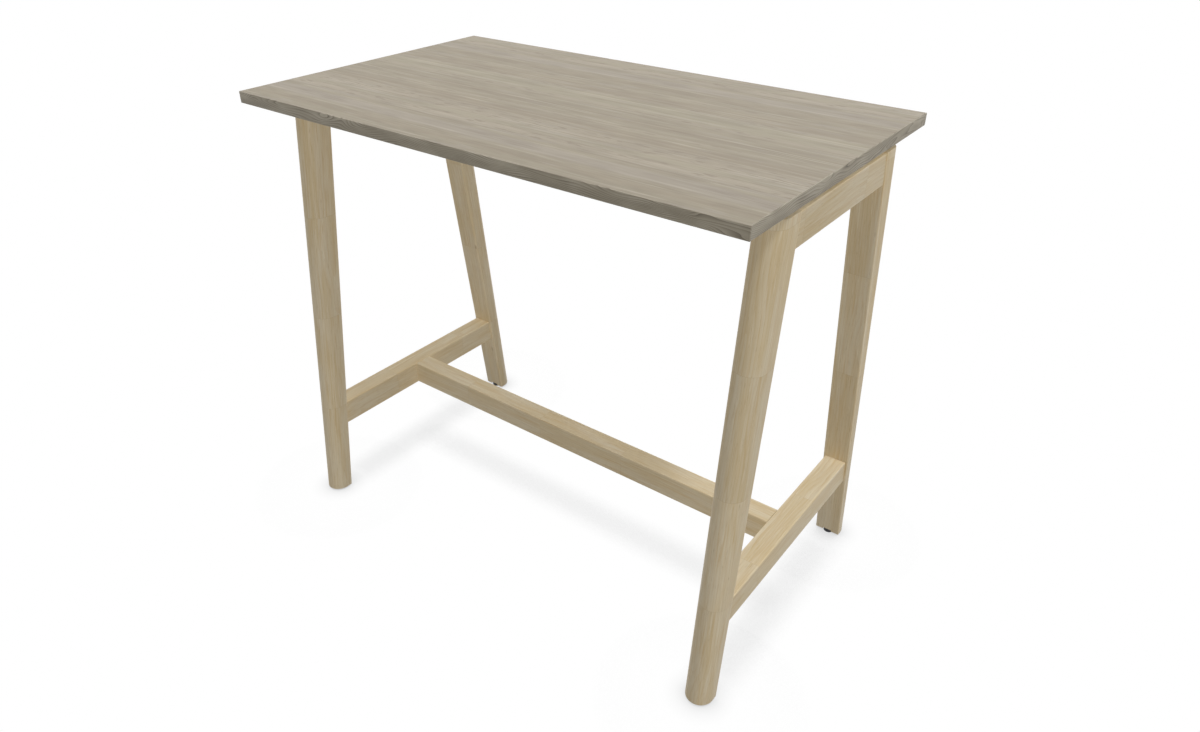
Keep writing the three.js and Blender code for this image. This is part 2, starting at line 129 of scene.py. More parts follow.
def add_node(
    tree: bpy.types.NodeTree,
    kind: str,
    inputs: dict[str | int, Any] | None = None,
    out: str | int = 0,
    **settings: Any,
) -> bpy.types.NodeSocket:
    """Adds a node with its settings and links.

    Args:
        tree: Tree that takes the node.
        kind: Blender's name for the kind of node.
        inputs: For an input, by name or number, the socket to link or the value to set.
        out: Name or number of the output to return.
        **settings: Properties of the node.

    Returns:
        The output asked for, or None from a node without outputs.
    """
    node = tree.nodes.new(kind)
    for name, value in settings.items():
        setattr(node, name, value)
    for key, value in (inputs or {}).items():
        if isinstance(value, bpy.types.NodeSocket):
            tree.links.new(value, node.inputs[key])
        else:
            node.inputs[key].default_value = value
    return node.outputs[out] if node.outputs else None


# Finishes


class Finish(ABC):
    """A finish: one material with its own node tree."""

    def __init__(self) -> None:
        """Starts an empty material."""
        self.material = bpy.data.materials.new(self.name)
        self.material.use_nodes = True
        self.tree = self.material.node_tree
        self.tree.nodes.clear()
        self.paint()

    @property
    @abstractmethod
    def name(self) -> str:
        """The material's name."""

    @abstractmethod
    def paint(self) -> None:
        """Builds the node tree."""

    def add(self, kind: str, inputs: dict | None = None, out: str | int = 0, **settings: Any) -> Any:
        """Adds a node to this finish; see add_node."""
        return add_node(self.tree, kind, inputs, out, **settings)

    def field(
        self,
        place: bpy.types.NodeSocket,
        per_metre: tuple[float, float, float],
        detail: float = 2.0,
        start: tuple[float, float, float] = (0.0, 0.0, 0.0),
        twist: float = 0.0,
    ) -> bpy.types.NodeSocket:
        """Makes a stretched noise.

        Args:
            place: Coordinates in metres.
            per_metre: Features per metre along each coordinate.
            detail: Octaves of finer noise.
            start: Where in the noise this field begins.
            twist: How far the noise bends its own features.

        Returns:
            A value about 0.5, mostly from 0.25 to 0.75.
        """
        at = self.add("ShaderNodeVectorMath", {0: place, 1: per_metre, 2: start}, operation="MULTIPLY_ADD")
        return self.add("ShaderNodeTexNoise", {"Vector": at, "Scale": 1.0, "Detail": detail, "Distortion": twist})

    def shade(self, colour: Any, roughness: Any, normal: Any = None, **fixed: Any) -> None:
        """Ends the tree in a Principled shader.

        Args:
            colour: Base colour, a socket or a value.
            roughness: Roughness, a socket or a value.
            normal: Normal socket, if the surface has a bump.
            **fixed: Values of other inputs, with underscores for spaces.
        """
        inputs = {"Base Color": colour, "Roughness": roughness}
        if normal is not None:
            inputs["Normal"] = normal
        inputs.update({name.replace("_", " "): value for name, value in fixed.items()})
        shader = self.add("ShaderNodeBsdfPrincipled", inputs)
        self.add("ShaderNodeOutputMaterial", {"Surface": shader})


class LacqueredAsh(Finish):
    """Ash staves, butt-jointed end to end, planed and sealed with a matt clear lacquer.

    The eye gets a pale beige ground with tan streaks along the grain, fine pores, and a faint step in tone
    across each joint between two staves.
    """

    name = "ash_staves_matt_lacquer"
    ground = "#cdbc9a"
    pale = "#d3c6ab"
    tan = "#c1a679"
    silver = "#dfd5be"
    dark = "#967b54"
    stave = 250 * MM
    joint_line = 0.6 * MM
    ring_width = 5.5 * MM

    def paint(self) -> None:
        """Builds rings, streaks, fibres and joints from the grain attribute."""
        place = self.add("ShaderNodeAttribute", out="Vector", attribute_name=GRAIN)
        along = self.add("ShaderNodeSeparateXYZ", {0: place}, out="X")
        turn = self.add("ShaderNodeMath", {0: along, 1: 1 / self.stave}, operation="MULTIPLY")
        index = self.add("ShaderNodeMath", {0: turn}, operation="FLOOR")
        part = self.add("ShaderNodeMath", {0: turn}, operation="FRACT")
        chance = self.add("ShaderNodeTexWhiteNoise", {"W": index}, out="Color", noise_dimensions="1D")
        # Each stave is sawn from another part of the log.
        log = self.add(
            "ShaderNodeVectorMath", {0: chance, 1: (3.0, 0.5, 0.5), 2: place}, operation="MULTIPLY_ADD"
        )
        rings = self.rings(log)
        fibre = self.field(log, (14.0, 650.0, 650.0), 3.0)
        streaks = self.add(
            "ShaderNodeMapRange",
            {"Value": self.field(log, (8.0, 210.0, 210.0), 3.0, (7.0, 0.0, 0.0), 1.1), 1: 0.47, 2: 0.72, 4: 0.52},
            interpolation_type="SMOOTHSTEP",
        )
        rays = self.add(
            "ShaderNodeMapRange",
            {"Value": self.field(log, (7.0, 260.0, 260.0), 2.0, (0.0, 0.0, 9.0), 1.3), 1: 0.55, 2: 0.7, 4: 0.42},
            interpolation_type="SMOOTHSTEP",
        )
        clouds = self.add(
            "ShaderNodeMapRange",
            {"Value": self.field(log, (5.0, 42.0, 42.0), 2.0, (0.0, 5.0, 0.0), 0.5), 1: 0.36, 2: 0.66},
            interpolation_type="SMOOTHSTEP",
        )
        ground = self.add(
            "ShaderNodeMix", {0: clouds, 6: linear(self.ground), 7: linear(self.pale)}, 2, data_type="RGBA"
        )
        streaked = self.add("ShaderNodeMix", {0: streaks, 6: ground, 7: linear(self.tan)}, 2, data_type="RGBA")
        lit = self.add("ShaderNodeMix", {0: rays, 6: streaked, 7: linear(self.silver)}, 2, data_type="RGBA")
        ring_share = self.add("ShaderNodeMath", {0: rings, 1: 0.3}, operation="MULTIPLY")
        ringed = self.add(
            "ShaderNodeMix", {0: ring_share, 6: lit, 7: linear(self.tan)}, 2, data_type="RGBA"
        )
        marked = self.marks(ringed, log, part)
        tone = self.tone(chance, fibre)
        toned = self.add(
            "ShaderNodeMix", {0: 1.0, 6: marked, 7: tone}, 2, data_type="RGBA", blend_type="MULTIPLY"
        )
        self.finish_surface(toned, rings, fibre)

    def rings(self, log: bpy.types.NodeSocket) -> bpy.types.NodeSocket:
        """Makes growth rings round the log's heart.

        Args:
            log: Place in the log.

        Returns:
            0 in the early wood and 1 at the end of each year.
        """
        wander = self.field(log, (4.0, 16.0, 16.0), 1.0, (0.0, 0.0, 3.0), 0.4)
        across = self.add("ShaderNodeVectorMath", {0: log, 1: (0.0, 1.0, 1.0)}, operation="MULTIPLY")
        radius = self.add("ShaderNodeVectorMath", {0: across}, "Value", operation="LENGTH")
        bent = self.add("ShaderNodeMath", {0: wander, 1: 34 * MM, 2: radius}, operation="MULTIPLY_ADD")
        years = self.add("ShaderNodeMath", {0: bent, 1: 1 / self.ring_width}, operation="MULTIPLY")
        year = self.add("ShaderNodeMath", {0: years}, operation="FRACT")
        return self.add("ShaderNodeMath", {0: year, 1: 2.2}, operation="POWER")

    def marks(self, colour: Any, log: Any, part: Any) -> bpy.types.NodeSocket:
        """Adds pores, pin knots and the lines of the joints.

        Args:
            colour: Colour so far.
            log: Place in the log.
            part: Place within a stave, from 0 to 1.

        Returns:
            The colour with the marks.
        """
        # Real pores are 0.2 mm wide; they are drawn at about 1 mm, to show.
        pores = self.add(
            "ShaderNodeMapRange",
            {"Value": self.field(log, (60.0, 900.0, 900.0), 1.0), 1: 0.64, 2: 0.76, 4: 0.35},
        )
        pored = self.add("ShaderNodeMix", {0: pores, 6: colour, 7: linear(self.dark)}, 2, data_type="RGBA")
        at = self.add("ShaderNodeVectorMath", {0: log, 1: (6.0, 15.0, 15.0)}, operation="MULTIPLY")
        reach = self.add("ShaderNodeTexVoronoi", {"Vector": at, "Scale": 1.0}, "Distance")
        knots = self.add("ShaderNodeMapRange", {"Value": reach, 1: 0.07, 2: 0.02, 4: 0.6})
        knotted = self.add("ShaderNodeMix", {0: knots, 6: pored, 7: linear(self.dark)}, 2, data_type="RGBA")
        middle = self.add("ShaderNodeMath", {0: part, 1: 0.5}, operation="SUBTRACT")
        off = self.add("ShaderNodeMath", {0: middle}, operation="ABSOLUTE")
        half = 0.5 - self.joint_line / self.stave
        joint = self.add("ShaderNodeMapRange", {"Value": off, 1: half, 2: 0.5, 4: 0.3})
        return self.add("ShaderNodeMix", {0: joint, 6: knotted, 7: linear(self.dark)}, 2, data_type="RGBA")

    def tone(self, chance: Any, fibre: Any) -> bpy.types.NodeSocket:
        """Makes the lightness of a point from its stave, its fibre, its edge, whether its face is end grain, and
        painted shade on faces inside bores, pockets and mortises.

        Args:
            chance: Random colour of the stave.
            fibre: Fibre field.

        Returns:
            A factor about 1.
        """
        stave = self.add("ShaderNodeSeparateXYZ", {0: chance}, "Z")
        by_stave = self.add("ShaderNodeMapRange", {"Value": stave, 3: 0.975, 4: 1.02})
        by_fibre = self.add("ShaderNodeMapRange", {"Value": fibre, 1: 0.25, 2: 0.75, 3: 0.95, 4: 1.05})
        both = self.add("ShaderNodeMath", {0: by_stave, 1: by_fibre}, operation="MULTIPLY")
        worn = self.add("ShaderNodeAttribute", out="Fac", attribute_name=WEAR_AND_HIGHLIGHT)
        lighter = self.add("ShaderNodeMath", {0: worn, 1: 0.07, 2: 1.0}, operation="MULTIPLY_ADD")
        edged = self.add("ShaderNodeMath", {0: both, 1: lighter}, operation="MULTIPLY")
        # Darker across the grain, and darker still inside bores, pockets and mortises, where it is painted shade
        raw = self.add("ShaderNodeAttribute", out="Fac", attribute_name=RAW_AND_BORE_SHADE)
        darker = self.add("ShaderNodeMath", {0: raw, 1: -0.22, 2: 1.0}, operation="MULTIPLY_ADD")
        return self.add("ShaderNodeMath", {0: edged, 1: darker}, operation="MULTIPLY")

    def finish_surface(self, colour: Any, rings: Any, fibre: Any) -> None:
        """Adds the lacquer's roughness and the grain that still shows through it as a bump.

        Args:
            colour: Base colour.
            rings: Growth rings.
            fibre: Fibre field.
        """
        worn = self.add("ShaderNodeAttribute", out="Fac", attribute_name=WEAR_AND_HIGHLIGHT)
        by_fibre = self.add("ShaderNodeMapRange", {"Value": fibre, 1: 0.25, 2: 0.75, 3: 0.46, 4: 0.6})
        rough = self.add("ShaderNodeMath", {0: worn, 1: -0.08, 2: by_fibre}, operation="MULTIPLY_ADD")
        height = self.add("ShaderNodeMath", {0: rings, 1: 0.5, 2: fibre}, operation="MULTIPLY_ADD")
        bump = self.add("ShaderNodeBump", {"Height": height, "Strength": 0.25, "Distance": 0.15 * MM})
        self.shade(colour, rough, bump, Specular_IOR_Level=0.25)


class Tone(Enum):
    """Hue in the worktop's printed decor."""

    BEIGE = "#a59d8b"
    LIGHT = "#a99f8f"
    GREY = "#a29988"
    OLIVE = "#a09685"
    TAUPE = "#9e9483"
    LILAC = "#a59c8f"
    STREAK = "#bbb3a3"
    DUSK = "#8d8476"


class PrintedLaminate(Finish):
    """Melamine sheet printed with a grey-beige wood decor and pressed with a fine matt grain.

    The eye gets long soft bands of greenish beige, taupe and lilac along the table, rows of thin light streaks with
    small eyes in them, and a few dark ticks. The print repeats both ways with the turn of its drum.
    """

    name = "melamine_sheet_wood_print"
    tick = "#544c42"
    repeat = 500 * MM
    back_edge = 350 * MM
    # Where each band's tone is full, from the back edge of the table through one repeat.
    bands: tuple[tuple[float, Tone], ...] = (
        (20 * MM, Tone.LIGHT),
        (36 * MM, Tone.BEIGE),
        (58 * MM, Tone.LIGHT),
        (72 * MM, Tone.LIGHT),
        (82 * MM, Tone.GREY),
        (94 * MM, Tone.GREY),
        (104 * MM, Tone.LILAC),
        (130 * MM, Tone.LILAC),
        (142 * MM, Tone.GREY),
        (166 * MM, Tone.TAUPE),
        (178 * MM, Tone.GREY),
        (190 * MM, Tone.GREY),
        (201 * MM, Tone.LIGHT),
        (214 * MM, Tone.GREY),
        (226 * MM, Tone.OLIVE),
        (251 * MM, Tone.OLIVE),
        (260 * MM, Tone.LIGHT),
        (276 * MM, Tone.BEIGE),
        (312 * MM, Tone.BEIGE),
        (332 * MM, Tone.LIGHT),
        (346 * MM, Tone.GREY),
        (370 * MM, Tone.GREY),
        (391 * MM, Tone.TAUPE),
        (406 * MM, Tone.GREY),
        (417 * MM, Tone.GREY),
        (429 * MM, Tone.LIGHT),
        (441 * MM, Tone.GREY),
        (454 * MM, Tone.OLIVE),
        (478 * MM, Tone.OLIVE),
        (488 * MM, Tone.LIGHT),
    )

    def paint(self) -> None:
        """Builds the decor from object coordinates, with the grain along X."""
        place = self.add("ShaderNodeTexCoord", out="Object")
        self.roll(place)
        wave = self.printed(5.0, 18.0, 2.0, 5.0)
        sway = self.add("ShaderNodeMapRange", {"Value": wave, 1: 0.2, 2: 0.8, 3: -1.5 * MM, 4: 1.5 * MM})
        shift = self.add("ShaderNodeCombineXYZ", {"Y": sway})
        swayed = self.add("ShaderNodeVectorMath", {0: place, 1: shift}, operation="ADD")
        self.roll(swayed)
        ramp = self.ramp(swayed)
        dusk = self.add(
            "ShaderNodeMapRange",
            {"Value": self.printed(6.0, 75.0, 3.0, 11.0), 1: 0.52, 2: 0.7, 4: 0.42},
            interpolation_type="SMOOTHSTEP",
        )
        ground = self.add("ShaderNodeMix", {0: dusk, 6: ramp, 7: linear(Tone.DUSK.value)}, 2, data_type="RGBA")
        tint = self.add(
            "ShaderNodeMapRange",
            {"Value": self.printed(7.0, 50.0, 2.0, 23.0), 1: 0.56, 2: 0.68, 4: 0.7},
            interpolation_type="SMOOTHSTEP",
        )
        tinted = self.add("ShaderNodeMix", {0: tint, 6: ground, 7: linear(Tone.LILAC.value)}, 2, data_type="RGBA")
        lit = self.streaks(tinted, ramp.node.outputs["Alpha"])
        ticked = self.ticks(lit, place)
        patches = self.printed(6.0, 34.0, 2.0, 61.0)
        ribbons = self.printed(3.0, 120.0, 3.0, 37.0)
        lines = self.printed(3.0, 360.0, 3.0, 31.0)
        by_patch = self.add("ShaderNodeMapRange", {"Value": patches, 1: 0.25, 2: 0.75, 3: 0.94, 4: 1.06})
        by_ribbon = self.add("ShaderNodeMapRange", {"Value": ribbons, 1: 0.25, 2: 0.75, 3: 0.955, 4: 1.045})
        by_line = self.add("ShaderNodeMapRange", {"Value": lines, 1: 0.25, 2: 0.75, 3: 0.92, 4: 1.08})
        flecks = self.printed(16.0, 100.0, 2.0, 71.0)
        by_fleck = self.add("ShaderNodeMapRange", {"Value": flecks, 1: 0.25, 2: 0.75, 3: 0.92, 4: 1.08})
        fine = self.add("ShaderNodeMath", {0: by_ribbon, 1: by_line}, operation="MULTIPLY")
        flecked = self.add("ShaderNodeMath", {0: fine, 1: by_fleck}, operation="MULTIPLY")
        tone = self.add("ShaderNodeMath", {0: flecked, 1: by_patch}, operation="MULTIPLY")
        toned = self.add(
            "ShaderNodeMix", {0: 1.0, 6: ticked, 7: tone}, 2, data_type="RGBA", blend_type="MULTIPLY"
        )
        # The pressed grain is about 0.4 mm across; it is drawn at about 1 mm, to show.
        pressed = self.field(place, (45.0, 950.0, 1.0), 2.0)
        rough = self.add("ShaderNodeMapRange", {"Value": pressed, 1: 0.25, 2: 0.75, 3: 0.5, 4: 0.64})
        bump = self.add("ShaderNodeBump", {"Height": pressed, "Strength": 0.2, "Distance": 0.08 * MM})
        self.shade(toned, rough, bump, Specular_IOR_Level=0.2)

    def roll(self, place: bpy.types.NodeSocket) -> None:
        """Lays coordinates round two circles, so that a noise read there repeats with the print.

        Args:
            place: Object coordinates.
        """
        turns = self.add(
            "ShaderNodeVectorMath", {0: place, "Scale": 2 * math.pi / self.repeat}, operation="SCALE"
        )
        angles = self.add("ShaderNodeSeparateXYZ", {0: turns}, "X").node.outputs
        x_cos = self.add("ShaderNodeMath", {0: angles["X"]}, operation="COSINE")
        x_sin = self.add("ShaderNodeMath", {0: angles["X"]}, operation="SINE")
        y_cos = self.add("ShaderNodeMath", {0: angles["Y"]}, operation="COSINE")
        self.rolled = self.add("ShaderNodeCombineXYZ", {0: x_cos, 1: x_sin, 2: y_cos})
        self.rolled_w = self.add("ShaderNodeMath", {0: angles["Y"]}, operation="SINE")

    def printed(self, along: float, across: float, detail: float, start: float) -> bpy.types.NodeSocket:
        """Makes a stretched noise that repeats with the print.

        Args:
            along: Features per metre along X.
            across: Features per metre along Y.
            detail: Octaves of finer noise.
            start: Where in the noise this field begins.

        Returns:
            A value about 0.5.
        """
        x, y = (features * self.repeat / (2 * math.pi) for features in (along, across))
        at = self.add(
            "ShaderNodeVectorMath", {0: self.rolled, 1: (x, x, y), 2: (start, 0.0, 0.0)}, operation="MULTIPLY_ADD"
        )
        depth = self.add("ShaderNodeMath", {0: self.rolled_w, 1: y}, operation="MULTIPLY")
        inputs = {"Vector": at, "W": depth, "Scale": 1.0, "Detail": detail}
        return self.add("ShaderNodeTexNoise", inputs, noise_dimensions="4D")

    def ramp(self, place: bpy.types.NodeSocket) -> bpy.types.NodeSocket:
        """Paints the bands across the table.

        Args:
            place: Object coordinates.

        Returns:
            The bands' colour. The node's alpha marks the light rows.
        """
        y = self.add("ShaderNodeSeparateXYZ", {0: place}, "Y")
        turn = self.add(
            "ShaderNodeMath", {0: y, 1: -1 / self.repeat, 2: self.back_edge / self.repeat}, operation="MULTIPLY_ADD"
        )
        part = self.add("ShaderNodeMath", {0: turn}, operation="FRACT")
        colour = self.add("ShaderNodeValToRGB", {0: part})
        stops = colour.node.color_ramp.elements
        for _ in range(len(self.bands) - len(stops)):
            stops.new(1.0)
        for stop, (at, tone) in zip(stops, self.bands):
            stop.position = at / self.repeat
            stop.color = (*linear(tone.value)[:3], float(tone is Tone.LIGHT))
        return colour

    def streaks(self, colour: Any, rows: Any) -> bpy.types.NodeSocket:
        """Adds thin light streaks, and the small eyes of the light rows.

        Args:
            colour: Colour so far.
            rows: Mask of the light rows.

        Returns:
            The colour with the streaks.
        """
        streaks = self.add(
            "ShaderNodeMapRange",
            {"Value": self.printed(4.0, 190.0, 2.0, 41.0), 1: 0.55, 2: 0.68, 4: 0.5},
            interpolation_type="SMOOTHSTEP",
        )
        lit = self.add("ShaderNodeMix", {0: streaks, 6: colour, 7: linear(Tone.STREAK.value)}, 2, data_type="RGBA")
        eyes = self.add(
            "ShaderNodeMapRange",
            {"Value": self.printed(30.0, 170.0, 3.0, 53.0), 1: 0.55, 2: 0.66, 4: 0.6},
            interpolation_type="SMOOTHSTEP",
        )
        share = self.add("ShaderNodeMath", {0: eyes, 1: rows}, operation="MULTIPLY")
        return self.add("ShaderNodeMix", {0: share, 6: lit, 7: linear(Tone.DUSK.value)}, 2, data_type="RGBA")

    def ticks(self, colour: Any, place: Any) -> bpy.types.NodeSocket:
        """Adds small dark ticks, one here and there.

        Args:
            colour: Colour so far.
            place: Object coordinates.

        Returns:
            The colour with the ticks.
        """
        size = (self.repeat, self.repeat, self.repeat)
        folded = self.add(
            "ShaderNodeVectorMath", {0: place, 1: (0.0, 0.0, 0.0), 2: size}, operation="WRAP"
        )
        slanted = self.add("ShaderNodeMapping", {"Vector": folded, "Rotation": (0.0, 0.0, 0.45)})
        at = self.add("ShaderNodeVectorMath", {0: slanted, 1: (9.0, 20.0, 0.0)}, operation="MULTIPLY")
        cell = self.add("ShaderNodeTexVoronoi", {"Vector": at, "Scale": 1.0}, "Distance")
        chance = self.add("ShaderNodeSeparateXYZ", {0: cell.node.outputs["Color"]}, "X")
        reach = self.add("ShaderNodeMapRange", {"Value": chance, 1: 0.4, 2: 1.0, 3: 0.0001, 4: 0.06})
        ratio = self.add("ShaderNodeMath", {0: cell, 1: reach}, operation="DIVIDE")
        mark = self.add("ShaderNodeMapRange", {"Value": ratio, 1: 1.0, 2: 0.3, 4: 0.7})
        return self.add("ShaderNodeMix", {0: mark, 6: colour, 7: linear(self.tick)}, 2, data_type="RGBA")


class PrintedBand(Finish):
    """ABS edge band, extruded and printed with a cathedral grain in the worktop's hues.

    The eye gets nested arches and slanting lines, a shade darker than the top, and a paler line along each rounding
    that is partly plastic bared by the cutter and partly a painted highlight.
    """

    name = "abs_edge_band_wood_print"
    ground = "#9f9786"
    line = "#645c50"
    light = "#b7af9e"
    line_gap = 3.6 * MM

    def paint(self) -> None:
        """Builds the arches from the grain attribute: along the band, then up it."""
        place = self.add("ShaderNodeAttribute", out="Vector", attribute_name=GRAIN)
        up = self.add("ShaderNodeSeparateXYZ", {0: place}, out="Y")
        hills = self.field(place, (6.5, 24.0, 0.0), 1.0, (3.0, 0.0, 0.0), 0.3)
        lift = self.add("ShaderNodeMath", {0: hills, 1: 55 * MM, 2: up}, operation="MULTIPLY_ADD")
        lines = self.add("ShaderNodeMath", {0: lift, 1: 1 / self.line_gap}, operation="MULTIPLY")
        saw = self.add("ShaderNodeMath", {0: lines}, operation="FRACT")
        dark = self.add("ShaderNodeMath", {0: saw, 1: 2.0}, operation="POWER")
        weight = self.add(
            "ShaderNodeMapRange",
            {"Value": self.field(place, (14.0, 60.0, 0.0), 1.0, (0.0, 4.0, 0.0)), 1: 0.3, 2: 0.65, 3: 0.35, 4: 1.0},
        )
        share = self.add("ShaderNodeMath", {0: dark, 1: weight}, operation="MULTIPLY")
        patch = self.add(
            "ShaderNodeMapRange",
            {"Value": self.field(place, (10.0, 30.0, 0.0), 2.0, (0.0, 0.0, 6.0)), 1: 0.4, 2: 0.68, 4: 0.7},
            interpolation_type="SMOOTHSTEP",
        )
        ground = self.add(
            "ShaderNodeMix", {0: patch, 6: linear(self.ground), 7: linear(self.light)}, 2, data_type="RGBA"
        )
        lined = self.add("ShaderNodeMix", {0: share, 6: ground, 7: linear(self.line)}, 2, data_type="RGBA")
        fine = self.field(place, (30.0, 700.0, 0.0), 2.0)
        by_line = self.add("ShaderNodeMapRange", {"Value": fine, 1: 0.25, 2: 0.75, 3: 0.96, 4: 1.04})
        # The cutter that rounds the band takes the print off, down to paler plastic. The line is lightened enough to
        # also stand in for the highlight on the rounding, so it is partly a painted highlight.
        milled_and_highlight = self.add("ShaderNodeAttribute", out="Fac", attribute_name=WEAR_AND_HIGHLIGHT)
        paler = self.add("ShaderNodeMath", {0: milled_and_highlight, 1: 0.14, 2: 1.0}, operation="MULTIPLY_ADD")
        tone = self.add("ShaderNodeMath", {0: by_line, 1: paler}, operation="MULTIPLY")
        toned = self.add("ShaderNodeMix", {0: 1.0, 6: lined, 7: tone}, 2, data_type="RGBA", blend_type="MULTIPLY")
        rough = self.add("ShaderNodeMapRange", {"Value": fine, 1: 0.25, 2: 0.75, 3: 0.45, 4: 0.57})
        bump = self.add("ShaderNodeBump", {"Height": fine, "Strength": 0.15, "Distance": 0.08 * MM})
        self.shade(toned, rough, bump, Specular_IOR_Level=0.25)


class SawnBeech(Finish):
    """Beech dowels and loose tenons, sawn or turned and left bare.

    The eye gets a warm pinkish tan with short dark flecks.
    """

    name = "beech_bare"
    ground = "#cfae87"
    fleck = "#a98459"

    def paint(self) -> None:
        """Builds flecks and fibres from object coordinates."""
        place = self.add("ShaderNodeTexCoord", out="Object")
        flecks = self.add(
            "ShaderNodeMapRange", {"Value": self.field(place, (260.0, 260.0, 260.0), 2.0), 1: 0.55, 2: 0.7, 4: 0.6}
        )
        colour = self.add(
            "ShaderNodeMix", {0: flecks, 6: linear(self.ground), 7: linear(self.fleck)}, 2, data_type="RGBA"
        )
        rough = self.add("ShaderNodeMapRange", {"Value": flecks, 3: 0.62, 4: 0.78})
        bump = self.add("ShaderNodeBump", {"Height": flecks, "Strength": 0.3, "Distance": 0.1 * MM})
        self.shade(colour, rough, bump)


class PlatedMetal(Finish):
    """Machined metal: bright zinc on steel, or bare brass.

    The eye gets a metal shine that fine tool marks and faint clouds in the plating break up.
    """

    def __init__(self, name: str, colour: str, cloud: str, roughness: float) -> None:
        """Keeps the metal's values.

        Args:
            name: The material's name.
            colour: Main hex colour.
            cloud: Hex colour of the clouds.
            roughness: Mean roughness.
        """
        self.title, self.colour, self.cloud, self.roughness = name, colour, cloud, roughness
        super().__init__()

    @property
    def name(self) -> str:
        """The material's name."""
        return self.title

    def paint(self) -> None:
        """Builds clouds and tool marks from object coordinates."""
        place = self.add("ShaderNodeTexCoord", out="Object")
        clouds = self.field(place, (140.0, 140.0, 140.0), 3.0)
        marks = self.field(place, (300.0, 300.0, 2600.0), 2.0)
        share = self.add("ShaderNodeMapRange", {"Value": clouds, 1: 0.35, 2: 0.7})
        colour = self.add(
            "ShaderNodeMix", {0: share, 6: linear(self.colour), 7: linear(self.cloud)}, 2, data_type="RGBA"
        )
        spread = 0.08
        rough = self.add(
            "ShaderNodeMapRange",
            {"Value": marks, 1: 0.25, 2: 0.75, 3: self.roughness - spread, 4: self.roughness + spread},
        )
        bump = self.add("ShaderNodeBump", {"Height": marks, "Strength": 0.15, "Distance": 0.03 * MM})
        self.shade(colour, rough, bump, Metallic=1.0)


class MouldedPolyamide(Finish):
    """Black polyamide, injection-moulded in a spark-eroded tool.

    The eye gets a near-black satin surface with a very fine grain and paler scuffs.
    """

    name = "polyamide_moulded_black"
    ground = "#17181a"
    scuff = "#2c2d30"

    def paint(self) -> None:
        """Builds grain and scuffs from object coordinates."""
        place = self.add("ShaderNodeTexCoord", out="Object")
        scuffs = self.add(
            "ShaderNodeMapRange", {"Value": self.field(place, (90.0, 90.0, 220.0), 3.0), 1: 0.5, 2: 0.75, 4: 0.7}
        )
        grain = self.field(place, (1500.0, 1500.0, 1500.0), 1.0)
        colour = self.add(
            "ShaderNodeMix", {0: scuffs, 6: linear(self.ground), 7: linear(self.scuff)}, 2, data_type="RGBA"
        )
        rough = self.add("ShaderNodeMapRange", {"Value": grain, 1: 0.25, 2: 0.75, 3: 0.42, 4: 0.58})
        bump = self.add("ShaderNodeBump", {"Height": grain, "Strength": 0.3, "Distance": 0.05 * MM})
        self.shade(colour, rough, bump)


@dataclass(frozen=True)
class Palette:
    """The finishes of the table."""

    ash: Finish
    laminate: Finish
    band: Finish
    beech: Finish
    steel: Finish
    brass: Finish
    plastic: Finish

    @classmethod
    def mixed(cls) -> "Palette":
        """Makes every finish."""
        return cls(
            ash=LacqueredAsh(),
            laminate=PrintedLaminate(),
            band=PrintedBand(),
            beech=SawnBeech(),
            steel=PlatedMetal("steel_zinc_plated", "#c4c6c8", "#aeb2b6", 0.32),
            brass=PlatedMetal("brass_machined", "#d0b06a", "#bd9b55", 0.3),
            plastic=MouldedPolyamide(),
        )


# Shapes


def arc(centre: Point2, radius: float, start: float, end: float, steps: int) -> list[Point2]:
    """Makes points along an arc.

    Args:
        centre: Middle of the circle.
        radius: Its radius.
        start: First angle in radians.
        end: Last angle in radians.
        steps: Number of steps between them.

    Returns:
        The points, both ends included.
    """
    angles = [start + (end - start) * i / steps for i in range(steps + 1)]
    return [(centre[0] + radius * math.cos(a), centre[1] + radius * math.sin(a)) for a in angles]


def held(outline: Sequence[list[Point2]], hold: float) -> list[Point2]:
    """Joins arcs into one outline, with a point on each flat close to the arc at either end of it.

    The extra points keep the flats flat under smooth shading.

    Args:
        outline: Arcs in order round the outline.
        hold: Distance of the extra points from the arcs.

    Returns:
        The closed outline's points.
    """
    points: list[Point2] = []
    for piece, after in zip(outline, [*outline[1:], outline[0]]):
        points.extend(piece)
        last, first = Vector(piece[-1]), Vector(after[0])
        flat = first - last
        if flat.length > 2.5 * hold:
            step = flat.normalized() * hold
            points.extend([tuple(last + step), tuple(first - step)])
    return points


def loft(rings: Sequence[Sequence[Vector]]) -> bmesh.types.BMesh:
    """Skins rings of equal length, one after another, and closes both ends.

    Args:
        rings: Rings of points.

    Returns:
        The closed solid.
    """
    solid = bmesh.new()
    made = [[solid.verts.new(point) for point in ring] for ring in rings]
    for lower, upper in zip(made, made[1:]):
        for i, here in enumerate(lower):
            j = (i + 1) % len(lower)
            solid.faces.new((here, lower[j], upper[j], upper[i]))
    solid.faces.new(tuple(reversed(made[0])))
    solid.faces.new(tuple(made[-1]))
    bmesh.ops.recalc_face_normals(solid, faces=solid.faces)
    return solid


def lathe(profile: Sequence[Point2], sides: int) -> bmesh.types.BMesh:
    """Turns a profile about Z.

    Args:
        profile: Radius and height of each point. It starts and ends on the axis, or ends where it starts.
        sides: Number of facets round the axis.

    Returns:
        The closed solid.
    """
    solid = bmesh.new()
    loop = profile[0] == profile[-1] and profile[0][0] > 0
    rows: list[list[bmesh.types.BMVert]] = []
    for radius, height in profile[:-1] if loop else profile:
        if radius == 0:
            rows.append([solid.verts.new((0.0, 0.0, height))] * sides)
            continue
        turns = [2 * math.pi * i / sides for i in range(sides)]
        rows.append([solid.verts.new((radius * math.cos(t), radius * math.sin(t), height)) for t in turns])
    if loop:
        rows.append(rows[0])
    for lower, upper in zip(rows, rows[1:]):
        for i in range(sides):
            j = (i + 1) % sides
            corners = list(dict.fromkeys((lower[i], lower[j], upper[j], upper[i])))
            solid.faces.new(corners)
    bmesh.ops.recalc_face_normals(solid, faces=solid.faces)
    return solid


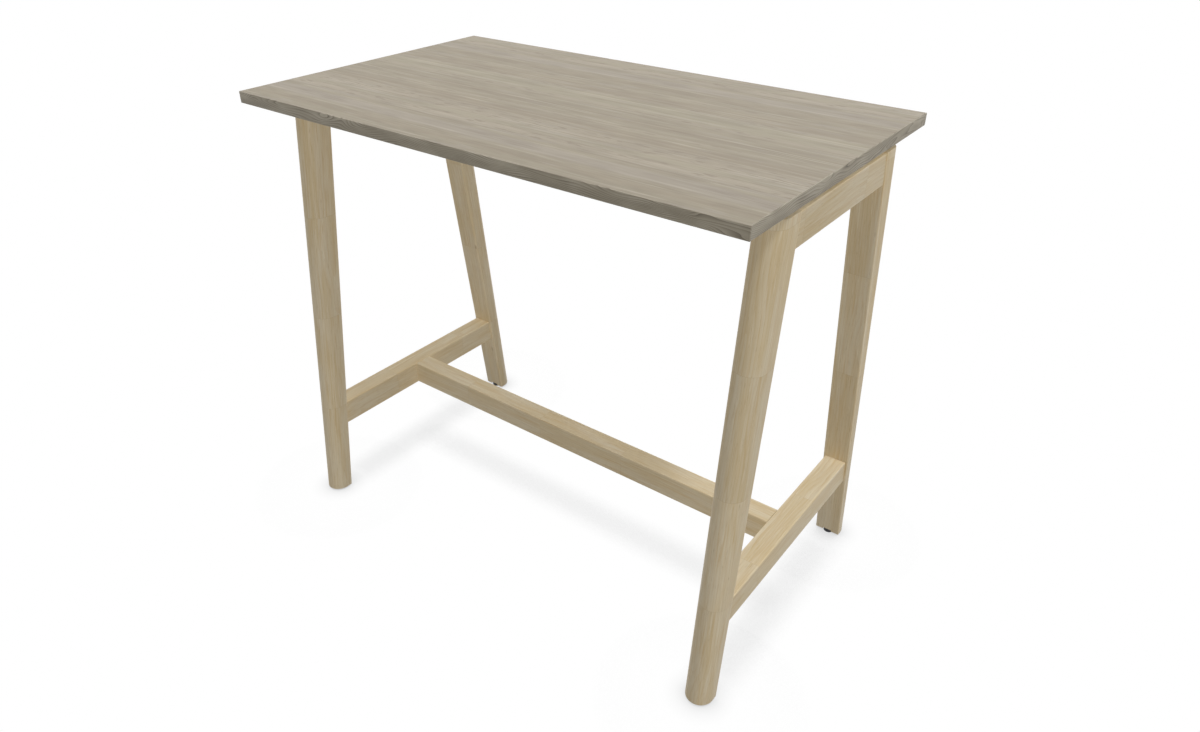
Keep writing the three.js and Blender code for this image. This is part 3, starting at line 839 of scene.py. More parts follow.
def prism(outline: Sequence[Point2], low: float, high: float, frame_of: Matrix) -> bmesh.types.BMesh:
    """Extrudes an outline.

    Args:
        outline: Points of the outline.
        low: Start of the extrusion along the frame's Z.
        high: End of the extrusion.
        frame_of: Frame that the outline and the extrusion are drawn in.

    Returns:
        The closed solid.
    """
    return loft([[frame_of @ Vector((x, y, z)) for x, y in outline] for z in (low, high)])


def circle(radius: float, sides: int) -> list[Point2]:
    """Makes the corners of a regular polygon about the origin."""
    return arc((0.0, 0.0), radius, 0.0, 2 * math.pi, sides)[:-1]


def oblong(width: float, height: float, steps: int = 8) -> list[Point2]:
    """Makes an outline with half-round ends, higher than it is wide."""
    rise = (height - width) / 2
    upper = arc((0.0, rise), width / 2, 0.0, math.pi, steps)
    return upper + arc((0.0, -rise), width / 2, math.pi, 2 * math.pi, steps)


def to_mesh(solid: bmesh.types.BMesh, name: str) -> bpy.types.Mesh:
    """Turns a solid into a mesh and frees it."""
    mesh = bpy.data.meshes.new(name)
    solid.to_mesh(mesh)
    solid.free()
    return mesh


def combine(
    mesh: bpy.types.Mesh, tools: Iterable[bmesh.types.BMesh], operation: str = "DIFFERENCE"
) -> bpy.types.Mesh:
    """Cuts solids out of a mesh, or joins them to it.

    Args:
        mesh: Mesh to work on.
        tools: Solids that don't overlap each other.
        operation: Boolean modifier's operation.

    Returns:
        A new mesh.
    """
    parts = []
    for tool in tools:
        parts.append(to_mesh(tool, "tool"))
    body = bpy.data.objects.new("work", mesh)
    bpy.context.scene.collection.objects.link(body)
    helpers = []
    for part in parts:
        helper = bpy.data.objects.new("tool", part)
        bpy.context.scene.collection.objects.link(helper)
        modifier = body.modifiers.new("cut", "BOOLEAN")
        modifier.operation, modifier.solver, modifier.object = operation, "EXACT", helper
        helpers.append(helper)
    graph = bpy.context.evaluated_depsgraph_get()
    made = bpy.data.meshes.new_from_object(body.evaluated_get(graph))
    for used in (body, *helpers):
        bpy.data.objects.remove(used)
    for used in (mesh, *parts):
        bpy.data.meshes.remove(used)
    return made


def smooth(mesh: bpy.types.Mesh, angle: float = math.radians(32)) -> None:
    """Merges doubled points and shades a mesh smooth, apart from edges sharper than an angle."""
    solid = bmesh.new()
    solid.from_mesh(mesh)
    bmesh.ops.remove_doubles(solid, verts=solid.verts, dist=0.001 * MM)
    bmesh.ops.recalc_face_normals(solid, faces=solid.faces)
    solid.to_mesh(mesh)
    solid.free()
    mesh.polygons.foreach_set("use_smooth", [True] * len(mesh.polygons))
    mesh.set_sharp_from_angle(angle=angle)


def show(
    name: str, mesh: bpy.types.Mesh, finish: Finish, slot: Slot, body: str, *nodes: str
) -> bpy.types.Object:
    """Shows a finished mesh in place of CAD nodes.

    Args:
        name: Piece name.
        mesh: Its mesh, in the row frame.
        finish: Its finish.
        slot: The record's slot of that finish; not used.
        body: CAD body that it moves with.
        *nodes: CAD nodes that it stands for.

    Returns:
        The piece.
    """
    mesh.name = name
    mesh.materials.clear()
    mesh.materials.append(finish.material)
    piece = bpy.data.objects.new(name, mesh)
    bpy.context.scene.collection.objects.link(piece)
    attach(piece, body)
    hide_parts(*nodes)
    LOG.info("%s: %d faces on %s, for %s", name, len(mesh.polygons), body, ", ".join(nodes))
    return piece


# Timber of the end frames


@dataclass
class Timber(ABC):
    """A wooden piece: a section with rounded long edges, lofted along the grain and cut for its neighbours."""

    edge_radius: float = 2 * MM
    end_radius: float = 0.6 * MM
    hold: float = 3 * MM
    edge_steps: int = 5
    tenon_thickness: float = 12 * MM
    tenon_height: float = 36 * MM
    tenon_length: float = 50 * MM
    overrun: float = 5 * MM

    @abstractmethod
    def rings(self) -> list[list[Vector]]:
        """Makes the section's rings from one end to the other."""

    @abstractmethod
    def tools(self) -> list[bmesh.types.BMesh]:
        """Makes the solids that neighbours cut out of the piece."""

    @abstractmethod
    def in_timber(self, point: Vector) -> Vector:
        """Gives a point's place along and across the grain."""

    @abstractmethod
    def from_corner(self, point: Vector) -> float:
        """Gives the distance of a surface point from the nearest long edge."""

    @abstractmethod
    def below_surface(self, point: Vector) -> float:
        """Gives how far a point lies inside the piece's outer faces."""

    @abstractmethod
    def grain_axis(self) -> Vector:
        """Gives the direction of the grain."""

    def insets(self) -> list[Point2]:
        """Makes the steps of a rounded end: how far each ring is set in, and how far from the end it lies."""
        steps = 3
        turns = [QUARTER * i / steps for i in range(steps + 1)]
        return [(self.end_radius * (1 - math.sin(t)), self.end_radius * (1 - math.cos(t))) for t in turns]

    def slot_outline(self) -> list[Point2]:
        """Makes the outline of a mortise."""
        return oblong(self.tenon_thickness + 2 * FIT_GAP, self.tenon_height + 2 * FIT_GAP)

    def section(self, half_u: float, half_v: float, inset: float) -> list[Point2]:
        """Makes a rectangle with rounded corners, drawn in from its outline.

        Args:
            half_u: Half its width.
            half_v: Half its height.
            inset: How far it is drawn in on every side.

        Returns:
            The outline's points.
        """
        radius = self.edge_radius - inset / 2
        u, v = half_u - inset - radius, half_v - inset - radius
        corners = ((u, v), (-u, v), (-u, -v), (u, -v))
        arcs = [arc(c, radius, i * QUARTER, (i + 1) * QUARTER, self.edge_steps) for i, c in enumerate(corners)]
        return held(arcs, self.hold)

    def mesh(self, name: str) -> bpy.types.Mesh:
        """Builds the piece's mesh in its own frame, with the attributes that its finish reads.

        Args:
            name: The mesh's name.

        Returns:
            The mesh.
        """
        made = combine(to_mesh(loft(self.rings()), name), self.tools())
        smooth(made)
        points = [vertex.co.copy() for vertex in made.vertices]
        grain = made.attributes.new(GRAIN, "FLOAT_VECTOR", "POINT")
        grain.data.foreach_set("vector", [x for point in points for x in self.in_timber(point)])
        wear_and_highlight = made.attributes.new(WEAR_AND_HIGHLIGHT, "FLOAT", "POINT")
        reach = [(self.from_corner(point) - self.edge_radius) / self.hold for point in points]
        wear_and_highlight.data.foreach_set("value", [1 - min(1.0, max(0.0, r)) for r in reach])
        # Per face: end grain darker, and painted shade inside bores, pockets and mortises
        raw = made.attributes.new(RAW_AND_BORE_SHADE, "FLOAT", "FACE")
        raw.data.foreach_set("value", [self.rawness_and_bore_shade(face.center, face.normal) for face in made.polygons])
        return made

    def rawness_and_bore_shade(self, middle: Vector, normal: Vector) -> float:
        """Gives how dark a face is made: 0 where lacquer seals it, 1 across the grain, and more inside a bore, pocket
        or mortise, as painted shade.

        Args:
            middle: The face's middle.
            normal: Its normal.

        Returns:
            The value for the finish.
        """
        # Faces more than a millimetre inside the outer faces get painted shade, so the hollows read as deep
        bored, depth = 2.4, 1 * MM
        if self.below_surface(middle) > depth:
            return bored
        return float(abs(normal @ self.grain_axis()) > 0.7)

    def placed(self, mesh: bpy.types.Mesh, place: Matrix, log: int) -> bpy.types.Mesh:
        """Copies the piece to its place in the table, out of a log of its own.

        Args:
            mesh: Mesh in the piece's own frame.
            place: Where the copy goes.
            log: Number of the log.

        Returns:
            The copy.
        """
        copy = mesh.copy()
        copy.transform(place)
        grain = copy.attributes[GRAIN].data
        values = [0.0] * (3 * len(grain))
        grain.foreach_get("vector", values)
        values[0::3] = [v + log * LacqueredAsh.stave * 40 for v in values[0::3]]
        grain.foreach_set("vector", values)
        return copy


@dataclass
class Leg(Timber):
    """A leg. Its origin is the middle of its inner face at the lower end, and +Y points outwards."""

    width: float = 60 * MM
    depth_top: float = 64 * MM
    depth_foot: float = 45 * MM
    splay: float = math.radians(7)
    foot_spacing: float = 598 * MM
    clearance: float = 4.5 * MM
    top: float = 1017 * MM
    round_steps: int = 40
    end_radius: float = 1 * MM
    tenon_heights: tuple[float, float] = (983.5 * MM, 219.5 * MM)
    foot_from_face: float = 10.3 * MM
    recess_radius: float = 15 * MM
    recess_top: float = 9.3 * MM
    sleeve_bore: float = 6.3 * MM
    sleeve_top: float = 35.9 * MM
    stem_bore: float = 4.3 * MM
    stem_top: float = 51 * MM
    bore_sides: int = 48

    @property
    def height(self) -> float:
        """Height of the leg."""
        return self.top - self.clearance

    @property
    def inner_lean(self) -> float:
        """Run of the inner face for each unit of height."""
        return math.tan(self.splay)

    @property
    def outer_lean(self) -> float:
        """Run of the round outer face for each unit of height."""
        return self.inner_lean - (self.depth_top - self.depth_foot) / self.height

    def inner_face(self, z: float) -> float:
        """Gives the distance of the inner face from the table's middle at a height above the floor."""
        return self.foot_spacing / 2 - self.inner_lean * (z - self.clearance)

    def rings(self) -> list[list[Vector]]:
        """Makes the rings from the foot to the top."""
        rounded = self.insets()
        foot = [self.ring(rise, inset) for inset, rise in rounded]
        top = [self.ring(self.height - drop, inset) for inset, drop in reversed(rounded)]
        return foot + top

    def ring(self, height: float, inset: float) -> list[Vector]:
        """Makes the section at a height above the leg's lower end, drawn in from its outline."""
        half = self.width / 2 - inset
        edge = self.edge_radius - inset / 2
        straight = self.depth_foot - self.width / 2
        low = inset + edge
        outline = held(
            [
                arc((0.0, straight), half, 0.0, math.pi, self.round_steps),
                arc((edge - half, low), edge, 2 * QUARTER, 3 * QUARTER, self.edge_steps),
                arc((half - edge, low), edge, 3 * QUARTER, 4 * QUARTER, self.edge_steps),
            ],
            self.hold,
        )
        return [Vector((x, y - self.lean_at(y) * height, height)) for x, y in outline]

    def lean_at(self, depth: float) -> float:
        """Gives the lean of a point of the section by its depth behind the inner face."""
        return self.inner_lean if depth <= self.edge_radius + 1.5 * self.hold else self.outer_lean

    def tools(self) -> list[bmesh.types.BMesh]:
        """Makes the two mortises and the stepped bore for the foot."""
        mortises = []
        for middle in self.tenon_heights:
            rise = middle - self.clearance
            face = -self.inner_lean * rise
            along_y = Matrix.Translation((0.0, 0.0, rise)) @ Matrix(
                ((-1, 0, 0, 0), (0, 0, 1, 0), (0, 1, 0, 0), (0, 0, 0, 1))
            )
            end = face + self.tenon_length / 2 + FIT_GAP
            mortises.append(prism(self.slot_outline(), face - self.overrun, end, along_y))
        steps = (
            (self.recess_radius, self.recess_top),
            (self.sleeve_bore, self.sleeve_top),
            (self.stem_bore, self.stem_top),
        )
        profile = [(0.0, -self.overrun), (self.recess_radius, -self.overrun)]
        for i, (radius, top) in enumerate(steps):
            after = steps[i + 1][0] if i + 1 < len(steps) else 0.0
            profile += [(radius, top - self.clearance), (after, top - self.clearance)]
        bore = lathe(profile, self.bore_sides)
        bmesh.ops.translate(bore, vec=(0.0, self.foot_from_face, 0.0), verts=bore.verts)
        return [*mortises, bore]

    def in_timber(self, point: Vector) -> Vector:
        """Gives a point's place along and across the grain."""
        middle = (self.inner_lean + self.outer_lean) / 2
        return Vector((point.z + self.clearance, point.x, point.y + middle * point.z))

    def from_corner(self, point: Vector) -> float:
        """Gives the distance of a surface point from the nearest long edge."""
        return max(self.width / 2 - abs(point.x), point.y + self.inner_lean * point.z)

    def below_surface(self, point: Vector) -> float:
        """Gives how far a point lies inside the leg's outer faces."""
        round_middle = self.depth_foot - self.width / 2 - self.outer_lean * point.z
        from_round = self.width / 2 - math.hypot(point.x, max(0.0, point.y - round_middle))
        return min(from_round, point.y + self.inner_lean * point.z, point.z, self.height - point.z)

    def grain_axis(self) -> Vector:
        """Gives the direction of the grain."""
        return Vector((0.0, 0.0, 1.0))


@dataclass
class Rail(Timber):
    """A rail between two legs of a frame. Its origin is its middle, and it runs along Y."""

    thickness: float = 50 * MM
    height: float = 60 * MM
    middle: float = 219.5 * MM

    def rings(self) -> list[list[Vector]]:
        """Makes the rings from the front leg to the back leg."""
        rounded = self.insets()
        front = [self.ring(-1, inset, back) for inset, back in rounded]
        rear = [self.ring(1, inset, back) for inset, back in reversed(rounded)]
        return front + rear

    def ring(self, side: int, inset: float, back: float) -> list[Vector]:
        """Makes the section at one end, drawn in from its outline and back from the leg."""
        leg = Leg()
        outline = self.section(self.thickness / 2, self.height / 2, inset)
        return [Vector((u, side * (leg.inner_face(self.middle + v) - FIT_GAP - back), v)) for u, v in outline]

    def tools(self) -> list[bmesh.types.BMesh]:
        """Makes the mortises of both ends."""
        reach = Leg().inner_face(self.middle)
        along_y = Matrix(((-1, 0, 0, 0), (0, 0, 1, 0), (0, 1, 0, 0), (0, 0, 0, 1)))
        start, end = reach - self.tenon_length / 2 - FIT_GAP, reach + self.overrun
        spans = ((-end, -start), (start, end))
        return [prism(self.slot_outline(), low, high, along_y) for low, high in spans]

    def in_timber(self, point: Vector) -> Vector:
        """Gives a point's place along and across the grain."""
        joint_at = -95 * MM
        return Vector((point.y - joint_at, point.x, point.z))

    def from_corner(self, point: Vector) -> float:
        """Gives the distance of a surface point from the nearest long edge."""
        return max(self.thickness / 2 - abs(point.x), self.height / 2 - abs(point.z))

    def below_surface(self, point: Vector) -> float:
        """Gives how far a point lies inside the rail's long faces."""
        return min(self.thickness / 2 - abs(point.x), self.height / 2 - abs(point.z))

    def grain_axis(self) -> Vector:
        """Gives the direction of the grain."""
        return Vector((0.0, 1.0, 0.0))


@dataclass
class TopRail(Rail):
    """The upper rail of a frame, bored for the two bolts of the worktop."""

    thickness: float = 56 * MM
    height: float = 63 * MM
    middle: float = 983.5 * MM
    bolt_spread: float = 220 * MM
    bolt_bore: float = 3.5 * MM
    seat_radius: float = 8 * MM
    seat_depth: float = 22 * MM
    bore_sides: int = 32

    def tools(self) -> list[bmesh.types.BMesh]:
        """Makes the mortises and the stepped bores for the bolts."""
        bores = []
        low, high = -self.height / 2 - self.overrun, self.height / 2 + self.overrun
        seat = self.seat_depth - self.height / 2
        profile = [
            (0.0, low),
            (self.seat_radius, low),
            (self.seat_radius, seat),
            (self.bolt_bore, seat),
            (self.bolt_bore, high),
            (0.0, high),
        ]
        for y in (-self.bolt_spread / 2, self.bolt_spread / 2):
            bore = lathe(profile, self.bore_sides)
            bmesh.ops.translate(bore, vec=(0.0, y, 0.0), verts=bore.verts)
            bores.append(bore)
        return super().tools() + bores


@dataclass
class StretcherBores:
    """The stud and dowel bores that a lower rail and the stretcher share."""

    stud_drop: float = 8 * MM
    stud_radius: float = 4.3 * MM
    stud_in_rail: float = 36.3 * MM
    stud_in_stretcher: float = 46.6 * MM
    dowel_radius: float = 5.3 * MM
    dowel_length: float = 36.6 * MM
    dowel_spread: float = 26 * MM
    dowel_rise: float = 14 * MM
    sides: int = 24

    def dowels(self, face: float, lift: float) -> list[bmesh.types.BMesh]:
        """Makes the two dowel bores across a joint plane at X = face, lifted with the stretcher's middle."""
        half = self.dowel_length / 2
        spots = ((y, self.dowel_rise + lift) for y in (-self.dowel_spread / 2, self.dowel_spread / 2))
        return [self.bore(self.dowel_radius, face - half, face + half, y, z) for y, z in spots]

    def bore(self, radius: float, low: float, high: float, y: float, z: float) -> bmesh.types.BMesh:
        """Makes a bore along X."""
        along_x = Matrix.Translation((0.0, y, z)) @ Matrix(
            ((0, 0, 1, 0), (1, 0, 0, 0), (0, 1, 0, 0), (0, 0, 0, 1))
        )
        return prism(circle(radius, self.sides), low, high, along_x)


@dataclass
class LowerRail(Rail):
    """The lower rail of a frame, bored on its +X face for the stretcher."""

    stretcher_middle: float = 219.5 * MM

    def tools(self) -> list[bmesh.types.BMesh]:
        """Makes the mortises and the bores for the stud and the dowels."""
        bores = StretcherBores()
        face, lift = self.thickness / 2, self.stretcher_middle - self.middle
        start = face - bores.stud_in_rail
        stud = bores.bore(bores.stud_radius, start, face + self.overrun, 0.0, lift - bores.stud_drop)
        return [*super().tools(), stud, *bores.dowels(face, lift)]


@dataclass
class Stretcher(Timber):
    """The beam between the two lower rails. Its origin is its middle, and it runs along X."""

    thickness: float = 49 * MM
    height: float = 59 * MM
    middle: float = 219.5 * MM
    end: float = 541.7 * MM
    rail_face: float = 542 * MM
    pocket_radius: float = 14 * MM
    pocket_from_end: float = 42 * MM
    pocket_above_stud: float = 15 * MM
    pocket_sides: int = 48

    def rings(self) -> list[list[Vector]]:
        """Makes the rings from the left end to the right end."""
        rounded = self.insets()
        left = [self.ring(back - self.end, inset) for inset, back in rounded]
        right = [self.ring(self.end - back, inset) for inset, back in reversed(rounded)]
        return left + right

    def ring(self, x: float, inset: float) -> list[Vector]:
        """Makes the section at a place along the beam, drawn in from its outline."""
        return [Vector((x, y, z)) for y, z in self.section(self.thickness / 2, self.height / 2, inset)]

    def tools(self) -> list[bmesh.types.BMesh]:
        """Makes the pockets, stud bores and dowel bores of both ends."""
        bores = StretcherBores()
        made = []
        pocket_top = self.pocket_above_stud - bores.stud_drop
        for side in End:
            pocket = lathe(
                [
                    (0.0, -self.height / 2 - self.overrun),
                    (self.pocket_radius, -self.height / 2 - self.overrun),
                    (self.pocket_radius, pocket_top),
                    (0.0, pocket_top),
                ],
                self.pocket_sides,
            )
            middle = side.value * (self.end - self.pocket_from_end)
            bmesh.ops.translate(pocket, vec=(middle, 0.0, 0.0), verts=pocket.verts)
            inner = side.value * (self.end - bores.stud_in_stretcher)
            outer = side.value * (self.end + self.overrun)
            low, high = sorted((inner, outer))
            stud = bores.bore(bores.stud_radius, low, high, 0.0, -bores.stud_drop)
            made += [pocket, stud, *bores.dowels(side.value * self.rail_face, 0.0)]
        return made

    def in_timber(self, point: Vector) -> Vector:
        """Gives a point's place along and across the grain."""
        joint_at = -95 * MM
        return Vector((point.x - joint_at, point.y, point.z))

    def from_corner(self, point: Vector) -> float:
        """Gives the distance of a surface point from the nearest long edge."""
        return max(self.thickness / 2 - abs(point.y), self.height / 2 - abs(point.z))

    def below_surface(self, point: Vector) -> float:
        """Gives how far a point lies inside the beam's long faces."""
        return min(self.thickness / 2 - abs(point.y), self.height / 2 - abs(point.z))

    def grain_axis(self) -> Vector:
        """Gives the direction of the grain."""
        return Vector((1.0, 0.0, 0.0))


@dataclass
class TableFrame:
    """The two end frames and the stretcher between them."""

    frame_x: float = 567 * MM

    def build(self, palette: Palette) -> None:
        """Builds and dresses every piece of timber.

        Args:
            palette: The table's finishes.
        """
        leg, top_rail, lower_rail, beam = Leg(), TopRail(), LowerRail(), Stretcher()
        leg_mesh, top_mesh = leg.mesh("leg"), top_rail.mesh("top_rail")
        lower_mesh, beam_mesh = lower_rail.mesh("lower_rail"), beam.mesh("stretcher")
        log = 1
        for row, end in CORNERS:
            x, y = end.value * self.frame_x, row.value * leg.foot_spacing / 2
            turn = 0.0 if row is Row.BACK else math.pi
            place = Matrix.Translation((x, y, leg.clearance)) @ Matrix.Rotation(turn, 4, "Z")
            node = f"leg_{row.label}_{end.label}"
            show(f"ash_{node}", leg.placed(leg_mesh, place, log), palette.ash, Slot.FRAME, TABLE_BODY, node)
            log += 1
        for end in End:
            turn = 0.0 if end is End.LEFT else math.pi
            for name, rail, mesh in (("top_rail", top_rail, top_mesh), ("lower_rail", lower_rail, lower_mesh)):
                place = Matrix.Translation((end.value * self.frame_x, 0.0, rail.middle))
                place = place @ Matrix.Rotation(turn, 4, "Z")
                node = f"{name}_{end.label}"
                copy = rail.placed(mesh, place, log)
                show(f"ash_{node}", copy, palette.ash, Slot.FRAME, TABLE_BODY, node)
                log += 1
        place = Matrix.Translation((0.0, 0.0, beam.middle))
        copy = beam.placed(beam_mesh, place, log)
        show("ash_stretcher", copy, palette.ash, Slot.FRAME, TABLE_BODY, "stretcher")


# Worktop


@dataclass
class Worktop:
    """The laminated board and its four edge bands."""

    length: float = 1200 * MM
    depth: float = 700 * MM
    top: float = 1050 * MM
    thickness: float = 24 * MM
    band: float = 2 * MM
    glue_line: float = 0.1 * MM
    band_radius: float = 1 * MM
    arris: float = 0.15 * MM
    round_steps: int = 5

    def build(self, palette: Palette) -> None:
        """Builds and dresses the board and the bands.

        Args:
            palette: The table's finishes.
        """
        board = self.board()
        show("laminate_board", board, palette.laminate, Slot.WORKTOP, TABLE_BODY, "worktop_board")
        for row in Row:
            mesh = self.long_band(row)
            node = f"edge_band_{row.label}"
            show(f"printed_{node}", mesh, palette.band, Slot.BAND, TABLE_BODY, node)
        for end in End:
            mesh = self.short_band(end)
            node = f"edge_band_{end.label}"
            show(f"printed_{node}", mesh, palette.band, Slot.BAND, TABLE_BODY, node)

    @property
    def underside(self) -> float:
        """Height of the board's lower face."""
        return self.top - self.thickness

    def block(self, low: Vector, high: Vector) -> bmesh.types.BMesh:
        """Makes a block between two corners."""
        corners = ((low.x, low.y), (high.x, low.y), (high.x, high.y), (low.x, high.y))
        return prism(corners, low.z, high.z, Matrix.Identity(4))

    def board(self) -> bpy.types.Mesh:
        """Builds the board, with a fine arris that draws the joint to the bands."""
        inset = self.band + self.glue_line
        half = Vector((self.length / 2 - inset, self.depth / 2 - inset, 0.0))
        low = Vector((-half.x, -half.y, self.underside))
        high = Vector((half.x, half.y, self.top))
        solid = self.block(low, high)
        level = [e for e in solid.edges if abs(e.verts[0].co.z - e.verts[1].co.z) < self.arris]
        bmesh.ops.bevel(solid, geom=level, offset=self.arris, segments=1, affect="EDGES", profile=0.5)
        mesh = combine(to_mesh(solid, "board"), self.insert_holes())
        smooth(mesh)
        return mesh

    def insert_holes(self) -> list[bmesh.types.BMesh]:
        """Makes the holes for the threaded inserts, from below."""
        frame_x, spread, radius, depth, over = 567 * MM, 220 * MM, 5.3 * MM, 15 * MM, 5 * MM
        holes = []
        for row, end in CORNERS:
            place = Matrix.Translation((end.value * frame_x, row.value * spread / 2, self.underside))
            holes.append(prism(circle(radius, 32), -over, depth, place))
        return holes

    def rounded(self, low: Vector, high: Vector, chosen: Any) -> bmesh.types.BMesh:
        """Makes a block and rounds the edges that a test of their two ends chooses."""
        solid = self.block(low, high)
        edges = [e for e in solid.edges if chosen(e.verts[0].co, e.verts[1].co)]
        bmesh.ops.bevel(
            solid, geom=edges, offset=self.band_radius, segments=self.round_steps, affect="EDGES", profile=0.5
        )
        return solid

    def long_band(self, row: Row) -> bpy.types.Mesh:
        """Builds a band along the table, with its outer edges and its ends rounded."""
        outer, inner = row.value * self.depth / 2, row.value * (self.depth / 2 - self.band)
        low = Vector((-self.length / 2, min(outer, inner), self.underside))
        high = Vector((self.length / 2, max(outer, inner), self.top))

        def chosen(a: Vector, b: Vector) -> bool:
            return not (abs(a.y - inner) < self.arris and abs(b.y - inner) < self.arris)

        mesh = to_mesh(self.rounded(low, high, chosen), "band")
        return self.with_print(mesh, lambda p: (p.x, abs(outer - p.y)), 10.0 * (2 + row.value))

    def short_band(self, end: End) -> bpy.types.Mesh:
        """Builds a band across the table, between the two long ones."""
        outer, inner = end.value * self.length / 2, end.value * (self.length / 2 - self.band)
        half = self.depth / 2 - self.band - self.glue_line
        low = Vector((min(outer, inner), -half, self.underside))
        high = Vector((max(outer, inner), half, self.top))

        def chosen(a: Vector, b: Vector) -> bool:
            on_outer = abs(a.x - outer) < self.arris and abs(b.x - outer) < self.arris
            return on_outer and abs(a.z - b.z) < self.arris

        mesh = to_mesh(self.rounded(low, high, chosen), "band")
        return self.with_print(mesh, lambda p: (p.y, abs(outer - p.x)), 10.0 * (6 + end.value))

    def with_print(self, mesh: bpy.types.Mesh, place: Any, start: float) -> bpy.types.Mesh:
        """Shades a band smooth and writes each point's place on the printed strip and its nearness to a rounding.

        Args:
            mesh: The band.
            place: Gives a point's place along the band and its depth behind the outer face.
            start: Where on the printed reel the band begins.

        Returns:
            The same mesh.
        """
        smooth(mesh)
        values: list[float] = []
        milled_and_highlight: list[float] = []
        for vertex in mesh.vertices:
            along, depth = place(vertex.co)
            values += [along + start, vertex.co.z + depth, 0.0]
            # The milled rounding: paler plastic in the finish, and partly a painted highlight
            from_edge = min(self.top - vertex.co.z, vertex.co.z - self.underside)
            milled_and_highlight.append(max(0.0, 1 - from_edge / self.band_radius))
        mesh.attributes.new(GRAIN, "FLOAT_VECTOR", "POINT").data.foreach_set("vector", values)
        mesh.attributes.new(WEAR_AND_HIGHLIGHT, "FLOAT", "POINT").data.foreach_set("value", milled_and_highlight)
        return mesh


# Fittings


@dataclass(frozen=True)
class Thread:
    """Size of a right-hand screw thread."""

    radius: float
    pitch: float
    depth: float
    facets: int = 24
    rows_per_pitch: int = 7

    @classmethod
    def metric(cls, radius: float, pitch: float) -> "Thread":
        """Makes a metric thread, whose flanks stand at 60 degrees."""
        return cls(radius, pitch, 0.6134 * pitch)


